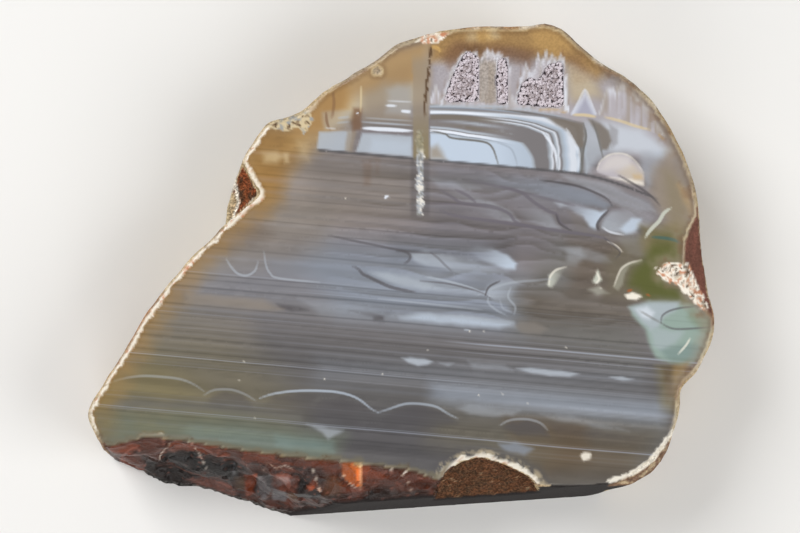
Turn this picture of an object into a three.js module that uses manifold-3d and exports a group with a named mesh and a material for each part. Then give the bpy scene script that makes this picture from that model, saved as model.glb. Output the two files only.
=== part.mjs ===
// Scenic agate slice: a thick slab sawn from an agate nodule, lying on its sawn back with the
// polished face up. Millimetres, +Z out of the polished face, +Y towards the top of the scene
// in the stone, origin at the middle of the bounding box's bottom.
import * as THREE from "three";
import { mergeVertices } from "three/addons/utils/BufferGeometryUtils.js";
import Module from "manifold-3d";

const wasm = await Module();
wasm.setup();

// Driving dimensions of the slab
const thickness = 18;
const edgeRound = 0.55; // polished arris between face and side
const stepsPerPoint = 2; // points made between two outline rows
const directionSpread = 0.03; // share of the outline over which its direction is taken
const shoulder = 14.5; // height at which the side turns from the broken bevel to steep
const sideLevels = [0, 3, 6, 9, 12, shoulder, 16, thickness - edgeRound];
const skinHollow = 0.45; // depth of the hollows of the natural skin

// The outline of the polished face, counter-clockwise from the left tip. Each row holds x and y,
// then how far the side stands outside the face's edge at the shoulder and at the back.
const outline = [
  [-50.1, -22.8, 0.1, -0.8],
  [-49.8, -24.4, 0.2, -0.4],
  [-49.0, -26.2, 0.3, 0.2],
  [-48.1, -27.7, 0.5, 1.2],
  [-46.8, -28.6, 1.4, 2.8],
  [-45.3, -28.2, 2.2, 4.2],
  [-43.0, -27.6, 2.8, 6.0],
  [-40.8, -27.0, 3.2, 7.8],
  [-37.8, -27.3, 2.8, 8.4],
  [-33.8, -27.8, 2.6, 8.3],
  [-29.0, -28.6, 2.8, 8.6],
  [-22.6, -29.5, 3.6, 9.7],
  [-16.2, -30.3, 5.6, 10.8],
  [-9.8, -30.8, 6.9, 10.4],
  [-3.4, -31.6, 6.7, 9.2],
  [1.4, -32.2, 5.9, 8.2],
  [5.0, -33.6, 3.6, 6.6],
  [7.8, -34.4, 2.0, 5.6],
  [14.2, -34.6, 1.4, 5.0],
  [21.4, -34.6, 1.2, 4.4],
  [26.2, -34.8, 1.0, 3.4],
  [31.0, -35.0, 0.9, 2.4],
  [33.8, -34.6, 1.1, 2.0],
  [36.6, -33.2, 1.6, 2.0],
  [39.5, -31.0, 1.9, 2.2],
  [41.8, -28.7, 1.4, 1.6],
  [43.2, -26.6, 0.7, 0.8],
  [44.2, -23.8, 0.3, 0.0],
  [44.6, -21.4, 0.2, -0.4],
  [44.8, -19.4, 0.2, -0.6],
  [45.9, -17.8, 0.2, -1.0],
  [47.4, -16.2, 0.2, -1.4],
  [48.8, -13.8, 0.1, -1.7],
  [49.8, -11.3, 0.1, -1.8],
  [50.2, -8.7, 0.1, -1.8],
  [49.8, -5.8, 0.1, -1.6],
  [49.1, -3.3, 0.2, -1.4],
  [48.8, -0.4, 0.2, -1.2],
  [48.3, 3.4, 0.2, -1.2],
  [47.8, 7.3, 0.1, -1.4],
  [47.5, 10.3, 0.1, -1.8],
  [46.9, 13.8, 0.1, -2.2],
  [45.9, 16.9, 0.1, -2.6],
  [44.6, 19.8, 0.1, -2.8],
  [43.2, 22.6, 0.1, -2.8],
  [41.1, 25.8, 0.1, -2.8],
  [38.7, 28.6, 0.1, -2.6],
  [35.8, 31.0, 0.1, -2.6],
  [32.6, 32.7, 0.1, -2.4],
  [29.9, 34.8, 0.1, -2.2],
  [27.5, 37.0, 0.1, -2.2],
  [25.6, 38.6, 0.0, -2.6],
  [23.0, 39.4, 0.0, -2.8],
  [20.8, 39.0, 0.1, -2.4],
  [18.2, 38.9, 0.1, -2.2],
  [14.2, 39.0, 0.1, -2.4],
  [10.2, 38.8, 0.1, -2.4],
  [6.2, 38.2, 0.1, -2.2],
  [2.2, 37.0, 0.1, -2.0],
  [-1.0, 35.8, 0.1, -1.8],
  [-3.4, 34.0, 0.1, -1.8],
  [-6.6, 31.9, 0.1, -1.6],
  [-9.8, 30.0, 0.1, -1.6],
  [-12.6, 28.4, 0.2, -1.2],
  [-14.6, 26.3, 0.3, -0.4],
  [-16.4, 24.9, 0.5, 0.2],
  [-18.6, 24.1, 0.4, 0.2],
  [-21.0, 23.7, 0.2, -0.6],
  [-22.4, 22.3, 0.2, -0.8],
  [-23.7, 20.4, 0.2, -0.6],
  [-25.0, 18.2, 0.3, -0.4],
  [-25.8, 16.2, 0.4, 0.0],
  [-26.6, 13.7, 0.5, 0.4],
  [-27.4, 10.2, 0.7, 0.6],
  [-28.6, 7.0, 0.2, 0.2],
  [-30.4, 4.9, 0.1, 0.0],
  [-32.6, 3.0, 0.1, -1.0],
  [-35.4, -0.1, 0.1, -1.4],
  [-38.1, -3.4, 0.1, -1.6],
  [-40.5, -6.6, 0.1, -1.6],
  [-42.2, -9.2, 0.1, -1.6],
  [-43.4, -11.6, 0.1, -1.6],
  [-45.8, -15.3, 0.1, -1.6],
  [-48.2, -19.1, 0.1, -1.4],
  [-49.6, -21.2, 0.1, -1.0],
];

// Where the nodule is ground flat below the scene: a point on the plane and its slopes
const groundFlat = { x: -19.7, y: -40.9, riseAlongX: 0.067, leanIn: 0.17, reach: 120 };

// Conchoidal fractures below the scene: plan position on the side, radius of the scoop, how far
// it sinks in, and how finely it is rounded. The coarse ones are the small flat-faced chips.
const fractures = [
  { x: -43.8, y: -31.2, radius: 7.0, sink: 1.5, rounding: 4 },
  { x: -38.6, y: -33.6, radius: 9.0, sink: 1.8, rounding: 5 },
  { x: -34.8, y: -30.8, radius: 7.5, sink: 1.8, rounding: 4 },
  { x: -29.2, y: -32.2, radius: 7.5, sink: 1.7, rounding: 4 },
  { x: -32.4, y: -35.2, radius: 9.0, sink: 0.9, rounding: 5 },
  { x: -25.4, y: -35.0, radius: 4.6, sink: 1.7, rounding: 1 },
  { x: -23.4, y: -32.8, radius: 2.8, sink: 1.3, rounding: 1 },
  { x: -21.2, y: -35.2, radius: 4.2, sink: 1.8, rounding: 1 },
  { x: -18.2, y: -34.0, radius: 3.4, sink: 1.3, rounding: 1 },
  { x: -25.2, y: -37.8, radius: 3.6, sink: 1.2, rounding: 1 },
  { x: -20.4, y: -38.2, radius: 4.0, sink: 1.5, rounding: 1 },
  { x: -14.8, y: -36.4, radius: 3.0, sink: 1.1, rounding: 1 },
];

// Shallow scoop on the right edge, worn smooth
const wornScoop = { at: [57.0, 2.0, 31.4], radius: 18, rounding: 5 };

// Open pocket in the left edge with its rusty matrix: plan, floor height at two places
const leftPocket = {
  plan: [
    [-22.4, 12.2], [-24.2, 14.9], [-25.2, 17.0], [-27.6, 18.6],
    [-33.0, 16.0], [-33.0, 5.0], [-29.4, 6.2], [-24.6, 10.2],
  ],
  highX: -22.4,
  highZ: 17.0,
  lowX: -27.6,
  lowZ: 12.6,
};

// Pocket of matrix in the bottom edge: plan and the heights that its floor falls between
const bottomPocket = {
  plan: [
    [5.0, -39.5], [5.9, -34.7], [7.2, -32.4], [9.8, -30.6], [12.8, -30.1], [15.6, -30.8],
    [18.4, -32.0], [20.6, -33.2], [22.0, -35.0], [22.6, -39.5],
  ],
  highY: -30.1,
  highZ: 17.2,
  lowY: -35.4,
  lowZ: 11.6,
};

// Round gas pits that the polish cut open: x, y, radius, height of the centre over the face
const gasPits = [
  [-3.8, 31.8, 0.75, 0.1],
  [5.6, 37.3, 0.5, 0.1],
  [42.4, 0.2, 0.6, 0.1],
  [44.2, -0.9, 0.7, 0.1],
  [46.2, -2.2, 0.65, 0.1],
];

// Three small vugs in the quartz along the top, each lined by a druse of sugary crystals
const vugFloor = 16.4; // height of a vug's floor over the back
const druseGap = 0.12; // between a vug's wall and its druse
const druseBase = 0.35; // thickness of the crust under the crystals
const crystalSpacing = 0.78;
const crystalRadius = 0.5;
const crystalHeight = { least: 0.45, most: 0.95 };
const vugs = {
  left: [[6.9, 26.8], [12.3, 26.9], [12.3, 34.0], [10.6, 35.0], [9.4, 33.2], [8.2, 30.8]],
  middle: [[15.4, 26.5], [17.1, 26.4], [17.0, 33.4], [15.8, 34.2], [15.3, 31.0]],
  right: [[18.4, 26.4], [26.0, 26.0], [25.8, 33.2], [23.6, 32.8], [22.0, 30.2], [20.4, 30.6], [19.4, 29.8]],
};

const stoneLook = { color: 0x8f8a86, roughness: 0.2, metalness: 0 };
const druseLook = { color: 0xb9b0b0, roughness: 0.35, metalness: 0 };

// A repeatable number between 0 and 1 for a pair of whole numbers
function scatter(a, b) {
  const value = Math.sin(a * 127.1 + b * 311.7) * 43758.5453;
  return value - Math.floor(value);
}

// A three.js geometry as a closed solid
function solidOf(geometry) {
  const bare = geometry.clone();
  bare.deleteAttribute("normal");
  bare.deleteAttribute("uv");
  const merged = mergeVertices(bare, 1e-4);
  return new wasm.Manifold(
    new wasm.Mesh({
      numProp: 3,
      vertProperties: merged.attributes.position.array,
      triVerts: new Uint32Array(merged.index.array),
    }),
  );
}

// A closed solid as a three.js geometry
function geometryOf(solid) {
  const mesh = solid.getMesh();
  const position = new Float32Array(mesh.numVert * 3);
  for (let i = 0; i < mesh.numVert; i++) {
    position.set(mesh.vertProperties.subarray(i * mesh.numProp, i * mesh.numProp + 3), i * 3);
  }
  const geometry = new THREE.BufferGeometry();
  geometry.setAttribute("position", new THREE.BufferAttribute(position, 3));
  geometry.setIndex(new THREE.BufferAttribute(mesh.triVerts, 1));
  geometry.computeVertexNormals();
  return geometry;
}

// The outline as evenly divided places, each with its outward direction and its two reaches
function outlinePlaces() {
  const curveWith = (column) =>
    new THREE.CatmullRomCurve3(
      outline.map((row) => new THREE.Vector3(row[0], row[1], row[column])),
      true,
      "catmullrom",
    );
  const atShoulder = curveWith(2);
  const atBack = curveWith(3);
  const count = outline.length * stepsPerPoint;
  return Array.from({ length: count }, (_, i) => {
    const place = atShoulder.getPoint(i / count);
    const ahead = atShoulder.getPoint((i / count + directionSpread) % 1);
    const behind = atShoulder.getPoint((i / count + 1 - directionSpread) % 1);
    const along = ahead.sub(behind).setZ(0).normalize();
    return {
      x: place.x,
      y: place.y,
      outX: along.y,
      outY: -along.x,
      shoulderReach: place.z,
      backReach: atBack.getPoint(i / count).z,
    };
  });
}

const places = outlinePlaces();

// How far the side stands outside the face's edge at a height
function sideReach(place, z) {
  if (z > shoulder) return (place.shoulderReach * (thickness - z)) / (thickness - shoulder);
  return THREE.MathUtils.lerp(place.backReach, place.shoulderReach, z / shoulder);
}

// Low hollows of the natural skin, none at the face and at the back
function skinDepth(place, z) {
  const t = z / thickness;
  const fade = 4 * t * (1 - t);
  const waves =
    Math.sin(place.x * 0.55 + z * 0.5) +
    Math.sin(place.y * 0.7 - z * 0.8) +
    Math.sin((place.x + place.y) * 0.32 + z * 0.3);
  return skinHollow * fade * (0.5 + waves / 6);
}

// The point of the side over a plan position outside the face, with its outward direction
function onSide(x, y) {
  const away = (p) => Math.hypot(x - p.x, y - p.y);
  const near = places.reduce((a, b) => (away(b) < away(a) ? b : a));
  const out = away(near);
  const onBevel = out < near.shoulderReach;
  const [high, low] = onBevel ? [thickness, shoulder] : [shoulder, 0];
  const fall = (sideReach(near, low) - sideReach(near, high)) / (high - low);
  return {
    point: new THREE.Vector3(x, y, high - (out - sideReach(near, high)) / fall),
    outward: new THREE.Vector3(near.outX, near.outY, fall).normalize(),
  };
}

// The slab before anything is broken from it: rings of the outline, joined and capped
function slab() {
  const count = places.length;
  const rings = sideLevels.map((z) =>
    places.map((p) => {
      const out = sideReach(p, z) - skinDepth(p, z);
      return [p.x + p.outX * out, p.y + p.outY * out, z];
    }),
  );
  rings.push(
    places.map((p) => [
      p.x - p.outX * edgeRound * 0.3,
      p.y - p.outY * edgeRound * 0.3,
      thickness - edgeRound * 0.3,
    ]),
    places.map((p) => [p.x - p.outX * edgeRound, p.y - p.outY * edgeRound, thickness]),
  );
  const faces = [];
  for (let level = 0; level < rings.length - 1; level++) {
    for (let i = 0; i < count; i++) {
      const a = level * count + i;
      const b = level * count + ((i + 1) % count);
      faces.push(a, b, b + count, a, b + count, a + count);
    }
  }
  const capOf = (ring) => THREE.ShapeUtils.triangulateShape(ring.map((p) => new THREE.Vector2(p[0], p[1])), []);
  const topStart = (rings.length - 1) * count;
  capOf(rings[0]).forEach(([a, b, c]) => faces.push(a, c, b));
  capOf(rings.at(-1)).forEach(([a, b, c]) => faces.push(topStart + a, topStart + b, topStart + c));
  const geometry = new THREE.BufferGeometry();
  geometry.setAttribute("position", new THREE.Float32BufferAttribute(rings.flat(2), 3));
  geometry.setIndex(faces);
  return solidOf(geometry);
}

// The block that the flat grinding took away below the scene
function groundOff() {
  const { x, y, riseAlongX, leanIn, reach } = groundFlat;
  const outward = new THREE.Vector3(riseAlongX, -1, leanIn).normalize();
  const block = new THREE.BoxGeometry(reach, reach, reach).translate(0, 0, reach / 2);
  const turn = new THREE.Quaternion().setFromUnitVectors(new THREE.Vector3(0, 0, 1), outward);
  block.applyQuaternion(turn).translate(x, y, 0);
  return solidOf(block);
}

// A ball of flat faces, as the scoops and pits take it
function ball(radius, rounding, centre) {
  return solidOf(new THREE.IcosahedronGeometry(radius, rounding).translate(...centre));
}

// A conchoidal fracture, scooped out of the side
function fracture({ x, y, radius, sink, rounding }) {
  const { point, outward } = onSide(x, y);
  return ball(radius, rounding, point.addScaledVector(outward, radius - sink).toArray());
}

// An upright prism over a plan, between two heights
function prism(plan, low, high) {
  const shape = new THREE.Shape(plan.map(([x, y]) => new THREE.Vector2(x, y)));
  const extruded = new THREE.ExtrudeGeometry(shape, { depth: high - low, bevelEnabled: false });
  return solidOf(extruded.translate(0, 0, low));
}

// A pocket over a plan whose floor slopes: the prism less what lies under the floor's plane
function slopingPocket(plan, across, highAt, highZ, lowAt, lowZ) {
  const above = thickness + 2;
  const slope = (highZ - lowZ) / (highAt - lowAt);
  const reach = 60;
  const floor = new THREE.BoxGeometry(reach, reach, reach).translate(0, 0, -reach / 2);
  if (across === "x") floor.rotateY(-Math.atan(slope)).translate(highAt, 0, highZ);
  else floor.rotateX(Math.atan(slope)).translate(0, highAt, highZ);
  return prism(plan, 0.5, above).subtract(solidOf(floor));
}

// The stone: the slab less its fractures, pockets, pits and vugs
function stone() {
  const { highX, highZ, lowX, lowZ } = leftPocket;
  const cuts = [
    groundOff(),
    ...fractures.map(fracture),
    ball(wornScoop.radius, wornScoop.rounding, wornScoop.at),
    slopingPocket(leftPocket.plan, "x", highX, highZ, lowX, lowZ),
    slopingPocket(
      bottomPocket.plan, "y", bottomPocket.highY, bottomPocket.highZ, bottomPocket.lowY, bottomPocket.lowZ,
    ),
    ...gasPits.map(([x, y, radius, over]) => ball(radius, 2, [x, y, thickness + over])),
    ...Object.values(vugs).map((plan) => prism(plan, vugFloor, thickness + 1)),
  ];
  return cuts.reduce((made, cut) => made.subtract(cut), slab());
}

// A vug's plan drawn in by a gap, towards its middle
function drawnIn(plan, gap) {
  const middle = plan.reduce(([sx, sy], [x, y]) => [sx + x / plan.length, sy + y / plan.length], [0, 0]);
  return plan.map(([x, y]) => {
    const away = Math.hypot(x - middle[0], y - middle[1]);
    const share = 1 - (gap * Math.SQRT2) / away;
    return [middle[0] + (x - middle[0]) * share, middle[1] + (y - middle[1]) * share];
  });
}

// One six-sided quartz point, leaning a little, at a place of the crust
function quartzPoint(x, y, column, row) {
  const height = THREE.MathUtils.lerp(crystalHeight.least, crystalHeight.most, scatter(column, row));
  const point = new THREE.ConeGeometry(crystalRadius, height + druseBase, 6);
  point.rotateX(Math.PI / 2).translate(0, 0, (height + druseBase) / 2);
  point.rotateZ(scatter(row, column) * Math.PI);
  point.rotateX((scatter(column + 7, row) - 0.5) * 0.5);
  point.rotateY((scatter(column, row + 5) - 0.5) * 0.5);
  return solidOf(point.translate(x, y, vugFloor + druseBase * 0.3));
}

// The druse of a vug: a thin crust with quartz points grown together, kept inside the vug
function druse(plan) {
  const inside = drawnIn(plan, druseGap);
  let made = prism(inside, vugFloor, vugFloor + druseBase);
  const room = prism(inside, vugFloor, thickness - 0.05);
  const xs = inside.map((p) => p[0]);
  const ys = inside.map((p) => p[1]);
  const shape = new THREE.Shape(inside.map(([x, y]) => new THREE.Vector2(x, y)));
  const columns = Math.ceil((Math.max(...xs) - Math.min(...xs)) / crystalSpacing);
  const rows = Math.ceil((Math.max(...ys) - Math.min(...ys)) / crystalSpacing);
  for (let column = 0; column < columns; column++) {
    for (let row = 0; row < rows; row++) {
      const x = Math.min(...xs) + (column + 0.5 + (scatter(column, row) - 0.5) * 0.6) * crystalSpacing;
      const y = Math.min(...ys) + (row + 0.5 + (scatter(row, column) - 0.5) * 0.6) * crystalSpacing;
      if (isInside(shape, x, y)) made = made.add(quartzPoint(x, y, column, row).intersect(room));
    }
  }
  return made;
}

// Whether a point lies within a shape's outline
function isInside(shape, x, y) {
  const points = shape.getPoints();
  let inside = false;
  points.forEach((p, i) => {
    const q = points[(i + 1) % points.length];
    const crosses = p.y > y !== q.y > y && x < ((q.x - p.x) * (y - p.y)) / (q.y - p.y) + p.x;
    if (crosses) inside = !inside;
  });
  return inside;
}

function meshOf(name, solid, look) {
  const mesh = new THREE.Mesh(geometryOf(solid), new THREE.MeshStandardMaterial(look));
  mesh.name = name;
  return mesh;
}

const slice = new THREE.Group();
slice.add(meshOf("agate_slice", stone(), stoneLook));
for (const [side, plan] of Object.entries(vugs)) {
  slice.add(meshOf(`druse_${side}`, druse(plan), druseLook));
}

// The origin goes to the middle of the bounding box's bottom
const box = new THREE.Box3().setFromObject(slice, true);
slice.position.set(-(box.min.x + box.max.x) / 2, -(box.min.y + box.max.y) / 2, -box.min.z);

export default slice;
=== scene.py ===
import math

import bmesh
import bpy
import numpy as np
from mathutils import Matrix, Vector, kdtree
from mathutils.bvhtree import BVHTree
from mathutils.geometry import delaunay_2d_cdt


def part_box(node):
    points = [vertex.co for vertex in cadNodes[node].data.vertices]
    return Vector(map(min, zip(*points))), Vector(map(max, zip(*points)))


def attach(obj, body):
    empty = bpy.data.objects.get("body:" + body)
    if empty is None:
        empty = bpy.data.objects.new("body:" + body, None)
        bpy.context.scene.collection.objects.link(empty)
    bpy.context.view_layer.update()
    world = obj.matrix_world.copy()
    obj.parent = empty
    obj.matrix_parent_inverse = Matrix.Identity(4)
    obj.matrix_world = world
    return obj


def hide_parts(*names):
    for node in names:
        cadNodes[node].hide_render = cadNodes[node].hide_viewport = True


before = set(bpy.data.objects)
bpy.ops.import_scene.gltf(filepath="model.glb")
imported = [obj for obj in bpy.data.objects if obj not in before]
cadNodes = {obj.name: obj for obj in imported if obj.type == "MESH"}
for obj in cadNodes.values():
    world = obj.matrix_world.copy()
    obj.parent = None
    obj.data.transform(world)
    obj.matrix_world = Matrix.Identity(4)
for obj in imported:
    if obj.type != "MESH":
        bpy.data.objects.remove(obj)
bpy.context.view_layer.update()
mm = 0.001

# The part's drawing was moved by this much to centre it; places here are in the drawing, in mm
drawingShift = (-0.037, 0.723)
faceHeight = 18.0


# Light and camera

studio = {
    "floorColour": (0.80, 0.79, 0.77),
    "floorReach": 2000.0,
    "lens": 150.0,
    "distance": 533.0,
    "aim": (-0.16, 0.48),
    "lamps": [
        {"name": "keyLamp", "at": (-420, 380, 520), "size": 420, "watts": 4.3},
        {"name": "fillLamp", "at": (520, -160, 480), "size": 480, "watts": 2.4},
        {"name": "lowLamp", "at": (-80, -560, 260), "size": 360, "watts": 1.5},
    ],
    "floorRoughness": 0.8,
    "skyStrength": 0.28,
}


# The face is drawn on a sheet of 800 by 533 units, each 0.16 mm, x to the right and y down

drawingUnit = 0.16
drawingCentre = (401.0, 269.5)

palette = {
    "white": (222, 227, 236), "chalk": (240, 233, 219), "paleBlue": (186, 198, 213),
    "haze": (171, 178, 187), "bone": (194, 197, 184), "bandGrey": (128, 124, 125),
    "bandBrown": (118, 110, 102), "fringe": (182, 176, 181), "lilac": (162, 163, 180),
    "blueGrey": (131, 138, 149), "purpleGrey": (124, 118, 120), "violet": (104, 99, 106),
    "tanGrey": (148, 135, 119), "warmGrey": (128, 121, 114), "slate": (82, 80, 82), "dark": (78, 74, 76),
    "ash": (108, 106, 102), "amber": (160, 124, 74), "deepAmber": (134, 100, 56),
    "cream": (206, 188, 152), "honey": (196, 158, 98), "brown": (118, 88, 66), "umber": (84, 62, 44),
    "oliveGrey": (112, 105, 88), "olive": (124, 112, 74), "green": (88, 92, 48), "mint": (146, 166, 156),
    "teal": (118, 136, 132), "rust": (176, 92, 50), "redBrown": (92, 43, 26), "black": (20, 17, 16),
    "ember": (122, 54, 26), "cinder": (58, 30, 21), "sawn": (38, 34, 33), "pink": (138, 84, 70),
    "sienna": (138, 74, 42), "sage": (104, 109, 97), "flame": (204, 102, 40), "deepTeal": (66, 98, 96),
    "facet": (106, 68, 56), "tan": (160, 126, 82),
}


def smoothStep(low, high, value):
    t = np.clip((value - low) / (high - low), 0.0, 1.0)
    return t * t * (3.0 - 2.0 * t)


# 1 from the second place of a span to its third, fading to 0 at its first and last
def within(value, span):
    start, full, ebb, end = span
    return smoothStep(start, full, value) * smoothStep(end, ebb, value)


def hashed(ix, iy, iz):
    value = np.sin(ix * 127.1 + iy * 311.7 + iz * 74.7) * 43758.5453
    return value - np.floor(value)


# Smooth noise between -1 and 1 with one lump per unit
def lumps(x, y, z=0.0):
    x, y, z = np.broadcast_arrays(x, y, z)
    cx, cy, cz = np.floor(x), np.floor(y), np.floor(z)
    fx, fy, fz = (f * f * (3 - 2 * f) for f in (x - cx, y - cy, z - cz))
    total = 0.0
    for i, wx in ((0, 1 - fx), (1, fx)):
        for j, wy in ((0, 1 - fy), (1, fy)):
            for k, wz in ((0, 1 - fz), (1, fz)):
                total = total + wx * wy * wz * hashed(cx + i, cy + j, cz + k)
    return total * 2 - 1


def layeredLumps(x, y, z=0.0, layers=3):
    total, share = 0.0, 1.0
    for layer in range(layers):
        total = total + share * lumps(x * 2**layer, y * 2**layer, z + 7.3 * layer)
        share /= 2
    return total / 1.7


# How far a point is inside a closed outline, less than 0 outside it
def insideBy(u, v, plan):
    distance = np.full(u.shape, 1e9)
    inside = np.zeros(u.shape, bool)
    for (ax, ay), (bx, by) in zip(plan, plan[1:] + plan[:1]):
        ex, ey = bx - ax, by - ay
        along = np.clip(((u - ax) * ex + (v - ay) * ey) / (ex * ex + ey * ey + 1e-9), 0, 1)
        distance = np.minimum(distance, np.hypot(u - ax - along * ex, v - ay - along * ey))
        if by != ay:
            inside ^= ((ay > v) != (by > v)) & (u < ex * (v - ay) / ey + ax)
    return np.where(inside, distance, -distance)


# Distance to a bent line, and how far along it the nearest place is, from 0 to 1
def nearLine(u, v, points):
    lengths = [np.hypot(b[0] - a[0], b[1] - a[1]) for a, b in zip(points, points[1:])]
    total = sum(lengths)
    distance = np.full(u.shape, 1e9)
    place = np.zeros(u.shape)
    start = 0.0
    for (ax, ay), (bx, by), length in zip(points, points[1:], lengths):
        ex, ey = bx - ax, by - ay
        along = np.clip(((u - ax) * ex + (v - ay) * ey) / (length * length + 1e-9), 0, 1)
        here = np.hypot(u - ax - along * ex, v - ay - along * ey)
        nearer = here < distance
        distance = np.where(nearer, here, distance)
        place = np.where(nearer, (start + along * length) / total, place)
        start += length
    return distance, place


# A smooth curve through a few points
def curved(points, steps=6):
    if len(points) < 3:
        return points
    ends = [points[0]] + list(points) + [points[-1]]
    made = []
    for a, b, c, d in zip(ends, ends[1:], ends[2:], ends[3:]):
        for k in range(steps):
            t = k / steps
            made.append(tuple(
                0.5 * (2 * q + (r - p) * t + (2 * p - 5 * q + 4 * r - s) * t * t
                       + (3 * q - p - 3 * r + s) * t**3)
                for p, q, r, s in zip(a, b, c, d)))
    return made + [points[-1]]


def blend(colour, mask, name):
    target = np.array(palette[name], float)
    colour += (target - colour) * np.clip(mask, 0, 1)[:, None]


# The level bands tilt a little, and those above the middle bend at the right
levels = {"tilt": 0.088, "bend": 10.3, "bendFrom": 563.5, "bendWidth": 62.5, "floorLine": -112.0}


def bendAt(u):
    return levels["bend"] * (np.maximum(0.0, u - levels["bendFrom"]) / levels["bendWidth"]) ** 2


# How far a place lies below the middle of the sheet, along the bands
def depthOf(u, v):
    raw = (v - drawingCentre[1]) - levels["tilt"] * (u - drawingCentre[0])
    return raw - bendAt(u) * np.clip(raw / levels["floorLine"], 0.0, 1.0)


# The sheet's v of a depth
def sheetRow(u, depth):
    raw = np.where(depth < 0, depth / (1 - bendAt(u) / levels["floorLine"]), depth)
    return raw + drawingCentre[1] + levels["tilt"] * (u - drawingCentre[0])


# Patches: colour, strength, softness of the edge, closed outline
basePatches = [
    # the broad tints of the stone, from the top down
    ("tanGrey", 0.55, 26, [(250, 145), (330, 150), (420, 165), (420, 215), (300, 232), (190, 285),
        (230, 200)]),
    ("amber", 0.8, 16, [(246, 120), (306, 126), (296, 160), (276, 190), (258, 212), (240, 190)]),
    ("deepAmber", 0.45, 12, [(254, 126), (312, 134), (296, 166), (262, 176), (246, 150)]),
    ("deepAmber", 0.4, 10, [(312, 96), (346, 88), (352, 132), (316, 140)]),
    ("slate", 0.5, 12, [(390, 236), (512, 238), (512, 264), (390, 264)]),
    ("brown", 0.3, 3, [(362, 160), (372, 160), (371, 186), (364, 186)]),
    ("brown", 0.2, 3, [(374, 158), (380, 158), (379, 176), (375, 176)]),
    ("deepAmber", 0.6, 12, [(258, 158), (285, 170), (282, 200), (268, 214), (252, 180)]),
    ("slate", 0.3, 22, [(400, 166), (520, 176), (620, 205), (600, 262), (430, 242)]),
    ("honey", 0.5, 12, [(306, 112), (330, 100), (350, 116), (330, 140), (308, 160), (285, 150)]),
    ("warmGrey", 0.6, 16, [(190, 240), (262, 205), (330, 200), (330, 262), (240, 270), (190, 280)]),
    ("slate", 0.25, 18, [(300, 152), (412, 160), (412, 215), (320, 205)]),
    ("blueGrey", 0.3, 14, [(440, 172), (540, 178), (600, 196), (560, 204), (450, 184)]),
    ("blueGrey", 0.75, 20, [(330, 240), (480, 250), (525, 280), (520, 332), (340, 316), (300, 262)]),
    ("blueGrey", 0.35, 24, [(200, 260), (330, 262), (520, 300), (520, 332), (190, 300)]),
    ("ash", 0.85, 22, [(560, 240), (640, 240), (640, 370), (515, 335), (515, 292)]),
    ("slate", 0.3, 24, [(230, 345), (460, 350), (460, 372), (230, 360)]),
    ("slate", 0.2, 24, [(200, 345), (660, 385), (660, 480), (200, 450)]),
    ("slate", 0.75, 14, [(170, 404), (300, 408), (440, 414), (560, 432), (650, 442), (640, 484), (440, 470),
        (300, 446), (180, 436)]),
    ("blueGrey", 0.75, 12, [(430, 383), (520, 390), (668, 402), (660, 425), (520, 410), (430, 400)]),
    ("blueGrey", 0.4, 20, [(320, 360), (640, 372), (640, 386), (320, 378)]),
    ("oliveGrey", 0.8, 30, [(150, 300), (230, 330), (300, 400), (290, 450), (90, 450), (90, 400)]),
    ("olive", 0.5, 24, [(100, 385), (150, 350), (210, 400), (230, 430), (95, 440)]),
    ("sage", 0.9, 14, [(120, 410), (230, 414), (345, 436), (330, 470), (110, 450)]),
    ("warmGrey", 0.5, 24, [(160, 310), (250, 315), (250, 345), (140, 345)]),
    ("haze", 0.3, 14, [(440, 385), (560, 392), (672, 404), (664, 422), (560, 414), (440, 402)]),
    ("umber", 0.6, 10, [(505, 418), (585, 424), (590, 462), (545, 470), (515, 450)]),
    ("umber", 0.25, 12, [(215, 215), (262, 205), (270, 235), (200, 262)]),
    ("umber", 0.34, 12, [(570, 240), (690, 240), (690, 290), (640, 300), (570, 290)]),
    ("umber", 0.22, 12, [(520, 290), (640, 294), (640, 326), (530, 322)]),
    ("oliveGrey", 0.6, 22, [(430, 412), (660, 432), (640, 480), (540, 480), (430, 440)]),
    ("umber", 0.25, 20, [(560, 430), (640, 440), (630, 480), (540, 480)]),
    ("teal", 0.4, 8, [(190, 426), (320, 440), (320, 452), (180, 438)]),
    ("teal", 0.6, 5, [(276, 436), (334, 442), (334, 452), (276, 446)]),
    ("ash", 0.8, 7, [(120, 398), (240, 402), (300, 414), (300, 420), (240, 412), (110, 408)]),
]

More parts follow.
